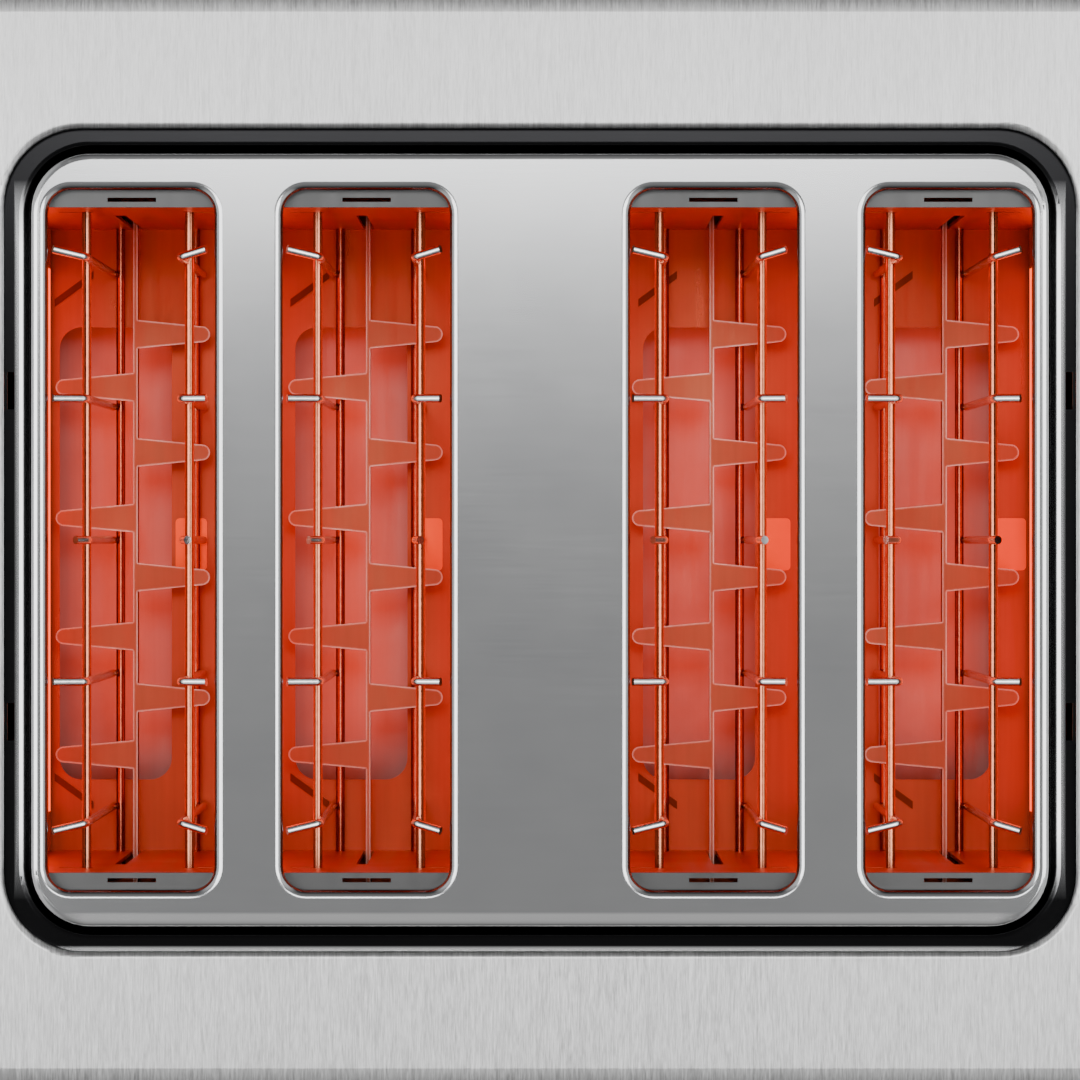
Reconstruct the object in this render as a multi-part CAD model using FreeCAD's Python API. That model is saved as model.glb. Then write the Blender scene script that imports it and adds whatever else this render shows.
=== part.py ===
import FreeCAD, Part
import math
import os

from FreeCAD import Vector

# Four-slice pop-up toaster, in millimetres. +Z is up and the levers face -Y.
# Everything is modelled round the middle of the body, then moved back by Y_SHIFT as it is
# exported, so that the origin is under the centre of the whole toaster, on the worktop.
# The toaster is drawn in use: both carriages are latched down and the bread guides are closed.

# ---------------------------------------------------------------- body
BODY_WIDTH = 289.0
BODY_DEPTH = 250.0
BODY_TOP = 190.0
WRAP_WIDTH = 264.0
WRAP_BOTTOM = 26.0
SEAM_Z = 170.0
SEAM_GAP = 0.2
BEND_RADIUS = 12.0
SHEET = 0.8
HALF_DEPTH = BODY_DEPTH / 2
LEVER_REACH = 24.0
GLAND_REACH = 9.0
Y_SHIFT = (LEVER_REACH - GLAND_REACH) / 2

CAP_WALL = 2.5
CAP_EDGE = 8.0
CAP_TONGUE = 6.0
FIT_GAP = 0.1

# ---------------------------------------------------------------- top plate
RECESS_WIDTH = 229.6
RECESS_DEPTH = 176.0
RECESS_RADIUS = 16.5
LIP_EDGE = 1.5
GUTTER_FLOOR = 184.6
GUTTER_ROOT = 2.3
ISLAND_WIDTH = 218.8
ISLAND_DEPTH = 166.4
ISLAND_RADIUS = 13.0
ISLAND_TOP = 189.0
ISLAND_EDGE = 1.8
FLANGE_TUCK = 3.0
TAB_SLOT_X = 113.5
TAB_SLOT_Y = (32.0, -39.0)
TAB_SLOT_WIDTH = 1.5
TAB_SLOT_LENGTH = 8.0

# ---------------------------------------------------------------- bread slots
BANK_X = 62.4
SLOT_PITCH = 50.4
SLOT_WIDTH = 35.8
SLOT_LENGTH = 149.8
SLOT_RADIUS = 5.0
SLOT_EDGE = 1.8
SLOT_LIP_BOTTOM = 184.2
SLOT_X = (-BANK_X - SLOT_PITCH / 2, -BANK_X + SLOT_PITCH / 2,
          BANK_X - SLOT_PITCH / 2, BANK_X + SLOT_PITCH / 2)

# ---------------------------------------------------------------- chassis
CHAMBER_HALF = 71.4
BULKHEAD_HALF_WIDTH = 123.0
BULKHEAD_BOTTOM = 30.0
LEDGE_TOP = 183.7
LEDGE_OUT = 84.0
LEDGE_SLOT_LENGTH = 10.4
LEDGE_SLOT_WIDTH = 0.9
LEDGE_SLOT_Y = 73.0
FLOOR_PLATE_Z = 38.0
FLOOR_SHEET = 0.6
FLOOR_SPREAD = 1.0755
FLOOR_WINDOW_X = -3.4
FLOOR_WINDOW_Y = -3.1
FLOOR_WINDOW_WIDTH = 25.8
FLOOR_WINDOW_LENGTH = 104.0
FLOOR_PAD_X = 14.0
FLOOR_PAD_Y = -1.0
FLOOR_RIB = 0.8

# ---------------------------------------------------------------- heaters
BOARD_THICKNESS = 1.0
BOARD_BOTTOM = 42.0
BOARD_TOP = 164.0
RIBBON_WIDTH = 2.4
RIBBON_THICKNESS = 0.3
RIBBON_RUNS = 12
RIBBON_PITCH = 9.0
RIBBON_FIRST_Z = 52.0
RIBBON_HALF = 62.0

# ---------------------------------------------------------------- bread guides
GUIDE_X = 10.3
GUIDE_PIVOT_X = 8.6
GUIDE_UPPER_X = 11.2
GUIDE_PIVOT_Z = 44.0
GUIDE_UPPER_Z = 152.0
GUIDE_FLARE_RISE = 2.2
GUIDE_TIP_X = {-1: 17.2, 1: 15.8}
GUIDE_TIP_Z = 178.0
GUIDE_WIRE = 0.9
GUIDE_BEND = 1.3
GUIDE_ROD = 1.0
GUIDE_SPACING = 30.5
GUIDE_SPLAY = 1.6
GUIDE_MIDDLE_SHORTER = 4.4
GUIDE_MIDDLE_LOWER = 9.0
GUIDE_OPEN_DEG = 2.5
GUIDE_ROD_END = 76.5
PIVOT_CLEARANCE = 0.06

# ---------------------------------------------------------------- carriages
CARRIAGE_TRAVEL = 75.0
ROD_Y = -92.0
ROD_RADIUS = 3.0
ROD_BOTTOM = 24.0
SLEEVE_RADIUS = 5.5
SLEEVE_CLEARANCE = 0.06
BRACKET_FRONT = -81.0
BRACKET_SHEET = 1.2
BRACKET_HALF_WIDTH = 33.0
BRACKET_LOW = 44.0
BRACKET_HIGH = 70.0
RACK_LOW = 46.0
RACK_TOP = 54.0
RACK_SHEET = 1.0
RACK_END = 76.0
RACK_X = tuple(1.055 * x for x in SLOT_X)
RACK_SLOT = 1.2
FINGER_REACH = {-1: 18.2, 1: 17.0}
FINGER_ROOT = 6.6
FINGER_TIP = 3.6
FINGER_Y = {-1: (-49.0, -22.0, 5.0, 34.9), 1: (-36.0, -8.5, 20.0, 47.0)}
ARM_HALF = 1.5
ARM_LOW = 76.0
ARM_HIGH = 84.0
ARM_END = -141.0

# ---------------------------------------------------------------- springs and latch
SPRING_OFFSET = 14.0
SPRING_RADIUS = 4.0
SPRING_WIRE = 0.45
SPRING_BOTTOM = 71.0
SPRING_TOP = 182.0
SPRING_TURNS = 28
MAGNET_X = 44.0
MAGNET_Y = -92.0
MAGNET_TOP = 50.8

# ---------------------------------------------------------------- controls
KNOB_BACK = -128.5
KNOB_HALF_WIDTH = 18.0
KNOB_LOW = 72.0
KNOB_HIGH = 88.0
BEZEL_HALF_WIDTH = 7.0
BEZEL_SHEET = 1.2
PANEL_HALF_WIDTH = 44.0
PANEL_LOW = 40.0
PANEL_HIGH = 140.0
PANEL_FRONT = -127.2
CONTROL_X = 24.0
DIAL_Z = 62.0
DIAL_RADIUS = 15.0
DIAL_BACK = -128.0
DIAL_LENGTH = 15.0
SHAFT_RADIUS = 3.0
BUTTON_Z = {"cancel": 92.0, "bagel": 108.0, "defrost": 124.0}
BUTTON_WIDTH = 20.0
BUTTON_HEIGHT = 9.0
BUTTON_FRONT = -130.2
BUTTON_TRAVEL = 2.0
BUTTON_GAP = 0.35
BOARD_FACE = -112.0
CIRCUIT_SHEET = 1.6

# ---------------------------------------------------------------- base
BASE_WIDTH = 281.0
BASE_DEPTH = 243.0
BASE_RADIUS = 9.0
BASE_BOTTOM = 6.0
BASE_FLOOR = 8.5
BASE_RIM = 30.0
BASE_WALL = 2.5
SEAT_HALF = 125.5
FOOT_X = 118.0
FOOT_Y = 98.0
FOOT_RADIUS = 9.0
BOSS_X = (-120.5, 0.0, 120.5)
BOSS_Y = 78.0
BOSS_RADIUS = 4.0
TRAY_INNER = 7.0
TRAY_OUTER = 115.0
TRAY_LOW = 8.9
TRAY_HIGH = 20.0
TRAY_FRONT = -71.0
TRAY_SHEET = 0.7
TRAY_HANDLE = 127.5
TRAY_TRAVEL = 185.0
GLAND_Z = 48.0
GLAND_BORE = 3.8
GLAND_INNER_END = 117.0


def block(x, y, z):
    """A box from three (low, high) pairs."""
    return Part.makeBox(x[1] - x[0], y[1] - y[0], z[1] - z[0], Vector(x[0], y[0], z[0]))


def mirrored(low, high, side):
    """An X range given for the right-hand side, as (low, high) on the side asked for."""
    return (low, high) if side > 0 else (-high, -low)


def rounded_outline(width, depth, radius, z, centre):
    """A closed rounded rectangle in a level plane."""
    cx, cy = centre
    x, y = width / 2, depth / 2
    k = radius * (1 - math.sqrt(0.5))
    corners = ((1, 1), (-1, 1), (-1, -1), (1, -1))
    edges = []
    for i, (sx, sy) in enumerate(corners):
        on_side = Vector(cx + sx * x, cy + sy * (y - radius), z)
        on_end = Vector(cx + sx * (x - radius), cy + sy * y, z)
        middle = Vector(cx + sx * (x - k), cy + sy * (y - k), z)
        first, last = (on_side, on_end) if sx == sy else (on_end, on_side)
        edges.append(Part.Arc(first, middle, last).toShape())
        nx, ny = corners[(i + 1) % 4]
        far_side = Vector(cx + nx * x, cy + ny * (y - radius), z)
        far_end = Vector(cx + nx * (x - radius), cy + ny * y, z)
        edges.append(Part.LineSegment(last, far_side if nx == ny else far_end).toShape())
    return Part.Wire(Part.__sortEdges__(edges))


def rounded_block(width, depth, radius, z, centre=(0.0, 0.0)):
    """An upright block with a rounded rectangular plan, z being (low, high)."""
    face = Part.Face(rounded_outline(width, depth, radius, z[0], centre))
    return face.extrude(Vector(0, 0, z[1] - z[0]))


def facing_block(width, height, radius, y, centre):
    """A block with its rounded outline facing the front, y being (front, back) and centre (x, z)."""
    upright = rounded_block(width, height, radius, (0.0, y[1] - y[0]))
    upright.rotate(Vector(0, 0, 0), Vector(1, 0, 0), 90)
    upright.translate(Vector(centre[0], y[1], centre[1]))
    return upright


def rod(axis, start, length, radius):
    """A round bar from start, along "x", "y" or "z"."""
    direction = {"x": Vector(1, 0, 0), "y": Vector(0, 1, 0), "z": Vector(0, 0, 1)}[axis]
    return Part.makeCylinder(radius, length, Vector(*start), direction)


def extruded_outline(points, shift):
    """A straight-sided closed outline, pushed along the shift vector."""
    loop = Part.makePolygon([Vector(*p) for p in points] + [Vector(*points[0])])
    return Part.Face(loop).extrude(Vector(*shift))


def edges_at(shape, z, reach=None, tolerance=1e-3):
    """The level edges of a shape at a height, within a (low, high) distance in X of the middle."""
    found = []
    for edge in shape.Edges:
        box = edge.BoundBox
        level = abs(box.ZMin - z) < tolerance and abs(box.ZMax - z) < tolerance
        inside = reach is None or (abs(box.XMin) <= reach[0] and abs(box.YMax) <= reach[1]
                                   and abs(box.XMax) <= reach[0] and abs(box.YMin) <= reach[1])
        if level and inside:
            found.append(edge)
    return found


def filleted_tube(points, bend, radius):
    """A round wire through points, with an arc of the bend radius at each corner."""
    points = [Vector(*p) for p in points]
    edges = []
    start = points[0]
    for before, corner, after in zip(points, points[1:], points[2:]):
        back = (before - corner).normalize()
        on = (after - corner).normalize()
        half = back.getAngle(on) / 2
        run = bend / math.tan(half)
        centre_way = (back + on).normalize()
        arc_start = corner + back * run
        arc_end = corner + on * run
        middle = corner + centre_way * (bend / math.sin(half) - bend)
        edges.append(Part.LineSegment(start, arc_start).toShape())
        edges.append(Part.Arc(arc_start, middle, arc_end).toShape())
        start = arc_end
    edges.append(Part.LineSegment(start, points[-1]).toShape())
    path = Part.Wire(edges)
    along = (points[1] - points[0]).normalize()
    section = Part.Wire(Part.makeCircle(radius, points[0], along))
    return Part.Solid(path.makePipeShell([section], True, True))


def arch_face(inset, x):
    """The body's side profile: upright front and back joined to the top by the bend radius."""
    y = HALF_DEPTH - inset
    top = BODY_TOP - inset
    radius = BEND_RADIUS - inset
    k = radius * (1 - math.sqrt(0.5))
    low = WRAP_BOTTOM
    edges = [
        Part.LineSegment(Vector(x, -y, low), Vector(x, -y, top - radius)).toShape(),
        Part.Arc(Vector(x, -y, top - radius), Vector(x, -y + k, top - k),
                 Vector(x, -y + radius, top)).toShape(),
        Part.LineSegment(Vector(x, -y + radius, top), Vector(x, y - radius, top)).toShape(),
        Part.Arc(Vector(x, y - radius, top), Vector(x, y - k, top - k),
                 Vector(x, y, top - radius)).toShape(),
        Part.LineSegment(Vector(x, y, top - radius), Vector(x, y, low)).toShape(),
        Part.LineSegment(Vector(x, y, low), Vector(x, -y, low)).toShape(),
    ]
    return Part.Face(Part.Wire(edges))


def arch_bar(inset, x_low, x_high):
    return arch_face(inset, x_low).extrude(Vector(x_high - x_low, 0, 0))


# ================================================================ covers
def top_cover():
    """The brushed sheet over the top, bent down at the front and the back, with a turned-down lip
    round the opening for the top plate."""
    half = WRAP_WIDTH / 2
    cover = arch_bar(0.0, -half, half).cut(arch_bar(SHEET, -half - 1, half + 1))
    cover = cover.cut(block((-half - 1, half + 1), (-HALF_DEPTH - 1, HALF_DEPTH + 1),
                            (WRAP_BOTTOM - 1, SEAM_Z)))
    lip_low = GUTTER_FLOOR + FIT_GAP
    lip = rounded_block(RECESS_WIDTH + 2 * SHEET, RECESS_DEPTH + 2 * SHEET,
                        RECESS_RADIUS + SHEET, (lip_low, BODY_TOP - SHEET / 2))
    opening = rounded_block(RECESS_WIDTH, RECESS_DEPTH, RECESS_RADIUS, (lip_low - 5, BODY_TOP + 5))
    cover = cover.fuse(lip).cut(opening)
    rim = edges_at(cover, BODY_TOP, (RECESS_WIDTH / 2 + 0.1, RECESS_DEPTH / 2 + 0.1))
    return cover.makeFillet(LIP_EDGE, rim).removeSplitter()


def front_panel():
    """The flat brushed sheet across the front, with a slot for each lever's arm and a window behind
    the control panel."""
    half = WRAP_WIDTH / 2
    wall = (-HALF_DEPTH - 1, -HALF_DEPTH + SHEET + 1)
    sheet = block((-half, half), (-HALF_DEPTH, -HALF_DEPTH + SHEET), (WRAP_BOTTOM, SEAM_Z - SEAM_GAP))
    for side in (-1, 1):
        slot_x = (side * BANK_X - 2.5, side * BANK_X + 2.5)
        sheet = sheet.cut(block(slot_x, wall, (ARM_LOW - 2, ARM_HIGH + CARRIAGE_TRAVEL + 2)))
    return sheet.cut(facing_block(2 * (PANEL_HALF_WIDTH - 4), PANEL_HIGH - PANEL_LOW - 8, 4.0,
                                  wall, (0.0, (PANEL_LOW + PANEL_HIGH) / 2)))


def back_panel():
    """The flat brushed sheet across the back, with vents and the hole for the cord gland."""
    half = WRAP_WIDTH / 2
    wall = (HALF_DEPTH - SHEET - 1, HALF_DEPTH + 1)
    sheet = block((-half, half), (HALF_DEPTH - SHEET, HALF_DEPTH), (WRAP_BOTTOM, SEAM_Z - SEAM_GAP))
    sheet = sheet.cut(rod("y", (0, wall[0], GLAND_Z), wall[1] - wall[0], 6.2))
    for side in (-1, 1):
        for row in range(9):
            sheet = sheet.cut(facing_block(3.0, 34.0, 1.45, wall, (side * (34 + 8.0 * row), 60.0)))
    return sheet


def end_cap(side):
    """A moulded cover that closes one end of the body and reaches a little way inside the sheets."""
    inner, outer = WRAP_WIDTH / 2, BODY_WIDTH / 2
    cap = arch_bar(0.0, *mirrored(inner, outer, side))
    rim = []
    for edge in cap.Edges:
        box = edge.BoundBox
        on_face = abs(box.XMin - side * outer) < 1e-3 and abs(box.XMax - side * outer) < 1e-3
        if on_face and box.ZMax > WRAP_BOTTOM + 1:
            rim.append(edge)
    cap = cap.makeFillet(CAP_EDGE, rim)
    hollow = arch_bar(CAP_WALL + SHEET, *mirrored(inner - 1, outer - CAP_WALL, side))
    hollow = hollow.fuse(block(mirrored(inner - 1, outer - CAP_WALL, side),
                               (-HALF_DEPTH + CAP_WALL + SHEET, HALF_DEPTH - CAP_WALL - SHEET),
                               (WRAP_BOTTOM - 1, WRAP_BOTTOM + 1)))
    tongue = arch_bar(SHEET + FIT_GAP, *mirrored(inner - CAP_TONGUE, inner + 0.5, side))
    tongue_room = arch_bar(CAP_WALL + SHEET, *mirrored(inner - CAP_TONGUE - 1, inner + 2, side))
    tongue_room = tongue_room.fuse(block(mirrored(inner - CAP_TONGUE - 1, inner + 2, side),
                                         (-HALF_DEPTH + CAP_WALL + SHEET, HALF_DEPTH - CAP_WALL - SHEET),
                                         (WRAP_BOTTOM - 1, WRAP_BOTTOM + 1)))
    cap = cap.cut(hollow).fuse(tongue.cut(tongue_room))
    for row in range(3):
        z = 58.0 + 9.0 * row
        groove = block(mirrored(outer - 0.8, outer + 1, side), (-78, 78), (z, z + 3.0))
        cap = cap.cut(groove)
    return cap.removeSplitter()


def slot_opening(x, z, grow=0.0):
    return rounded_block(SLOT_WIDTH + 2 * grow, SLOT_LENGTH + 2 * grow, SLOT_RADIUS + grow, z, (x, 0.0))


def top_plate():
    """The polished pressing with the four bread slots: a flange under the shell's lip, a gutter,
    a raised middle, and a turned-down edge round each slot."""
    flange = rounded_block(RECESS_WIDTH + 2 * FLANGE_TUCK, RECESS_DEPTH + 2 * FLANGE_TUCK,
                           RECESS_RADIUS + FLANGE_TUCK, (GUTTER_FLOOR - SHEET, GUTTER_FLOOR))
    island = rounded_block(ISLAND_WIDTH, ISLAND_DEPTH, ISLAND_RADIUS,
                           (GUTTER_FLOOR - SHEET, ISLAND_TOP))
    island = island.makeFillet(ISLAND_EDGE, edges_at(island, ISLAND_TOP))
    plate = flange.fuse(island).removeSplitter()
    root = edges_at(plate, GUTTER_FLOOR, (ISLAND_WIDTH / 2 + 0.1, ISLAND_DEPTH / 2 + 0.1))
    plate = plate.makeFillet(GUTTER_ROOT, root)
    hollow = rounded_block(ISLAND_WIDTH - 2 * SHEET, ISLAND_DEPTH - 2 * SHEET, ISLAND_RADIUS - SHEET,
                           (GUTTER_FLOOR - 2 * SHEET, ISLAND_TOP - SHEET))
    hollow = hollow.makeFillet(ISLAND_EDGE - SHEET, edges_at(hollow, ISLAND_TOP - SHEET))
    plate = plate.cut(hollow)
    for x in SLOT_X:
        plate = plate.fuse(slot_opening(x, (SLOT_LIP_BOTTOM, ISLAND_TOP - SHEET / 2), SHEET))
    for x in SLOT_X:
        plate = plate.cut(slot_opening(x, (SLOT_LIP_BOTTOM - 5, ISLAND_TOP + 5)))
    rims = edges_at(plate, ISLAND_TOP, (SLOT_X[3] + SLOT_WIDTH / 2 + 0.1, SLOT_LENGTH / 2 + 0.1))
    plate = plate.makeFillet(SLOT_EDGE, rims)
    for side in (-1, 1):
        for y in TAB_SLOT_Y:
            x = side * TAB_SLOT_X
            plate = plate.cut(block((x - TAB_SLOT_WIDTH / 2, x + TAB_SLOT_WIDTH / 2),
                                    (y - TAB_SLOT_LENGTH / 2, y + TAB_SLOT_LENGTH / 2),
                                    (GUTTER_FLOOR - 2, GUTTER_FLOOR + 2)))
    return plate.removeSplitter()


# ================================================================ base
def tray_range(side):
    return mirrored(TRAY_INNER, TRAY_OUTER, side)


def base_pan():
    """The moulded floor of the toaster, with an opening in its back wall for each crumb tray."""
    pan = rounded_block(BASE_WIDTH, BASE_DEPTH, BASE_RADIUS, (BASE_BOTTOM, BASE_RIM))
    pan = pan.makeFillet(2.0, edges_at(pan, BASE_BOTTOM))
    pocket = rounded_block(BASE_WIDTH - 2 * BASE_WALL, BASE_DEPTH - 2 * BASE_WALL,
                           BASE_RADIUS - BASE_WALL, (BASE_FLOOR, BASE_RIM + 1))
    seat_y = HALF_DEPTH - SHEET - FIT_GAP
    pan = pan.fuse(block((-SEAT_HALF, SEAT_HALF), (-seat_y, seat_y), (BASE_RIM - 3, BASE_RIM)))
    pan = pan.cut(pocket)
    for side in (-1, 1):
        low, high = tray_range(side)
        pan = pan.cut(block((low - 0.6, high + 0.6), (BASE_DEPTH / 2 - BASE_WALL - 1, BASE_DEPTH / 2 + 1),
                            (BASE_FLOOR, TRAY_HIGH + 0.6)))
        for x in (low - 1.6, high + 0.6):
            pan = pan.fuse(block((x, x + 1.0), (TRAY_FRONT - 3, BASE_DEPTH / 2 - BASE_WALL),
                                 (BASE_FLOOR - 0.5, BASE_FLOOR + 7)))
        pan = pan.fuse(rod("z", (side * BANK_X, ROD_Y, BASE_FLOOR - 0.5), BASE_RIM - BASE_FLOOR + 0.5, 6.0))
        pan = pan.cut(rod("z", (side * BANK_X, ROD_Y, ROD_BOTTOM), BASE_RIM, ROD_RADIUS + 0.05))
        pan = pan.fuse(rod("z", (side * MAGNET_X, MAGNET_Y, BASE_FLOOR - 0.5),
                           BASE_RIM - BASE_FLOOR + 0.5, 6.0))
        for row in range(10):
            x = side * (18 + 9.0 * row)
            vent = rounded_block(3.0, 26.0, 1.45, (BASE_BOTTOM - 1, BASE_FLOOR + 1), (x, -100.0))
            pan = pan.cut(vent)
    for x in BOSS_X:
        for y in (-BOSS_Y, BOSS_Y):
            pan = pan.fuse(rod("z", (x, y, BASE_FLOOR - 0.5), BASE_RIM - BASE_FLOOR + 0.5, BOSS_RADIUS))
    for x in BOSS_X:
        for y in (-BOSS_Y, BOSS_Y):
            pan = pan.cut(rod("z", (x, y, BASE_BOTTOM - 1), BASE_RIM, 1.6))
    return pan.removeSplitter()


def base_screws():
    """The six screws that hold the bulkheads down on the base, driven up from below."""
    screws = []
    for x in BOSS_X:
        for y in (-BOSS_Y, BOSS_Y):
            shank = rod("z", (x, y, BASE_BOTTOM - 0.5), BASE_RIM - BASE_BOTTOM + 3.5, 1.5)
            head = rod("z", (x, y, BASE_BOTTOM - 2.0), 2.0, 3.0)
            recess = block((x - 2.0, x + 2.0), (y - 0.5, y + 0.5), (BASE_BOTTOM - 3, BASE_BOTTOM - 1))
            recess = recess.fuse(block((x - 0.5, x + 0.5), (y - 2.0, y + 2.0),
                                       (BASE_BOTTOM - 3, BASE_BOTTOM - 1)))
            screws.append(shank.fuse(head).cut(recess))
    return Part.makeCompound(screws)


def rubber_feet():
    feet = []
    for x in (-FOOT_X, FOOT_X):
        for y in (-FOOT_Y, FOOT_Y):
            foot = rod("z", (x, y, 0.0), BASE_BOTTOM, FOOT_RADIUS)
            feet.append(foot.makeFillet(1.2, edges_at(foot, 0.0)))
    return Part.makeCompound(feet)


def crumb_tray(side):
    """A shallow pressed tray that slides out at the back, with a grip over its opening."""
    low, high = tray_range(side)
    tray = block((low, high), (TRAY_FRONT, BASE_DEPTH / 2), (TRAY_LOW, TRAY_HIGH - 5.0))
    tray = tray.cut(block((low + TRAY_SHEET, high - TRAY_SHEET),
                          (TRAY_FRONT + TRAY_SHEET, BASE_DEPTH / 2 - TRAY_SHEET),
                          (TRAY_LOW + TRAY_SHEET, TRAY_HIGH)))
    front = block((low - 2.0, high + 2.0), (BASE_DEPTH / 2 + 0.2, BASE_DEPTH / 2 + 2.4),
                  (BASE_FLOOR - 1.0, TRAY_HIGH + 2.6))
    neck = block((low + 1, high - 1), (BASE_DEPTH / 2 - TRAY_SHEET, BASE_DEPTH / 2 + 0.2),
                 (TRAY_LOW, TRAY_HIGH - 5.0))
    middle = (low + high) / 2
    grip = block((middle - 22, middle + 22), (BASE_DEPTH / 2 + 2.4, TRAY_HANDLE), (13.0, 16.0))
    grip = grip.makeFillet(1.2, [e for e in grip.Edges if e.BoundBox.YMin > TRAY_HANDLE - 0.1])
    return tray.fuse([neck, front, grip]).removeSplitter()


# ================================================================ chassis
def bulkhead(end):
    """The upright sheet at the front (-1) or back (+1) of the bread chambers. Its top edge turns
    outwards as a ledge under the top plate, and its bottom edge turns outwards onto the bosses."""
    near, far = (CHAMBER_HALF, CHAMBER_HALF + SHEET)
    wall_y = (near, far) if end > 0 else (-far, -near)
    ledge_y = (near, LEDGE_OUT) if end > 0 else (-LEDGE_OUT, -near)
    wide = (-BULKHEAD_HALF_WIDTH, BULKHEAD_HALF_WIDTH)
    sheet = block(wide, wall_y, (BULKHEAD_BOTTOM, LEDGE_TOP))
    sheet = sheet.fuse(block(wide, ledge_y, (LEDGE_TOP - SHEET, LEDGE_TOP)))
    sheet = sheet.fuse(block(wide, ledge_y, (BULKHEAD_BOTTOM, BULKHEAD_BOTTOM + SHEET)))
    through = (wall_y[0] - 1, wall_y[1] + 1)
    for x in SLOT_X:
        sheet = sheet.cut(block((x - LEDGE_SLOT_LENGTH / 2, x + LEDGE_SLOT_LENGTH / 2),
                                (end * LEDGE_SLOT_Y - LEDGE_SLOT_WIDTH / 2,
                                 end * LEDGE_SLOT_Y + LEDGE_SLOT_WIDTH / 2),
                                (LEDGE_TOP - 2, LEDGE_TOP + 1)))
        for side in (-1, 1):
            pivot = (x + side * GUIDE_PIVOT_X, through[0], GUIDE_PIVOT_Z)
            sheet = sheet.cut(rod("y", pivot, 3.0, GUIDE_ROD + PIVOT_CLEARANCE))
            swing = (GUIDE_UPPER_Z - GUIDE_PIVOT_Z) * math.tan(math.radians(GUIDE_OPEN_DEG))
            start = GUIDE_UPPER_X - GUIDE_ROD - 0.4
            arc_slot = mirrored(start, GUIDE_UPPER_X + swing + GUIDE_ROD + 0.4, side)
            sheet = sheet.cut(block((x + arc_slot[0], x + arc_slot[1]), through,
                                    (GUIDE_UPPER_Z - 1.6, GUIDE_UPPER_Z + 1.5)))
    for x in RACK_X:
        sheet = sheet.cut(block((x - RACK_SLOT, x + RACK_SLOT), through,
                                (RACK_LOW - 2, RACK_TOP + CARRIAGE_TRAVEL + 2)))
    for x in BOSS_X:
        sheet = sheet.cut(rod("z", (x, end * BOSS_Y, BULKHEAD_BOTTOM - 1), 4.0, 1.6))
    if end < 0:
        for side in (-1, 1):
            tab_x = mirrored(BANK_X - 9, BANK_X + SPRING_OFFSET + 8, side)
            sheet = sheet.fuse(block(tab_x, (ROD_Y - 9, -LEDGE_OUT), (LEDGE_TOP - SHEET, LEDGE_TOP)))
            sheet = sheet.cut(rod("z", (side * BANK_X, ROD_Y, LEDGE_TOP - 3), 6.0, ROD_RADIUS + 0.05))
    return sheet.removeSplitter()


def chamber_floor():
    """The sheet under all four chambers, with a long window under each bread rack."""
    plate = block((-118.1, 118.1), (-CHAMBER_HALF, CHAMBER_HALF),
                  (FLOOR_PLATE_Z, FLOOR_PLATE_Z + FLOOR_SHEET))
    for slot_x in SLOT_X:
        x = FLOOR_SPREAD * slot_x
        window = rounded_block(FLOOR_WINDOW_WIDTH, FLOOR_WINDOW_LENGTH, 5.0,
                               (FLOOR_PLATE_Z - 1, FLOOR_PLATE_Z + 2),
                               (x + FLOOR_WINDOW_X, FLOOR_WINDOW_Y))
        plate = plate.cut(window)
        pad = rounded_block(7.2, 12.0, 1.0, (FLOOR_PLATE_Z, FLOOR_PLATE_Z + 1.5),
                            (x + FLOOR_PAD_X, FLOOR_PAD_Y))
        plate = plate.fuse(pad)
        for end in (-1, 1):
            near = (x - 17.4, end * 54.5 - 0.9)
            far = (x - 8.5, end * 61.0 - 0.9)
            rib = [(*near, FLOOR_PLATE_Z), (*far, FLOOR_PLATE_Z),
                   (far[0], far[1] + 1.8, FLOOR_PLATE_Z), (near[0], near[1] + 1.8, FLOOR_PLATE_Z)]
            plate = plate.fuse(extruded_outline(rib, (0, 0, FLOOR_SHEET + FLOOR_RIB)))
    return plate.removeSplitter()


def outer_reflector(side):
    """The bright sheet behind the outermost heater of one bank, stiffened by two beads."""
    x = mirrored(118.2, 119.0, side)
    sheet = block(x, (-CHAMBER_HALF, CHAMBER_HALF), (FLOOR_PLATE_Z, 178.0))
    for z in (78.0, 128.0):
        bead = rod("y", (side * 119.0, -60.0, z), 120.0, 2.0)
        sheet = sheet.fuse(bead.common(block(mirrored(118.6, 121.5, side), (-61, 61), (z - 3, z + 3))))
    return sheet.removeSplitter()


def centre_heat_shield():
    """A channel that stands between the two banks and keeps their heat apart."""
    low = FLOOR_PLATE_Z + FLOOR_SHEET
    outside = block((-7.4, 7.4), (-CHAMBER_HALF, CHAMBER_HALF), (low, 170.0))
    inside = block((-6.8, 6.8), (-CHAMBER_HALF - 1, CHAMBER_HALF + 1), (low + FLOOR_SHEET, 171.0))
    return outside.cut(inside)


def heater_board(x):
    """A mica sheet that carries the heating ribbon, notched along its upright edges."""
    board = block((x - BOARD_THICKNESS / 2, x + BOARD_THICKNESS / 2), (-CHAMBER_HALF, CHAMBER_HALF),
                  (BOARD_BOTTOM, BOARD_TOP))
    for run in range(RIBBON_RUNS - 1):
        z = RIBBON_FIRST_Z + RIBBON_PITCH * (run + 0.5)
        for y in (-CHAMBER_HALF, CHAMBER_HALF - 2.0):
            board = board.cut(block((x - 1, x + 1), (y, y + 2.0), (z - 1.5, z + 1.5)))
    return board


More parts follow.
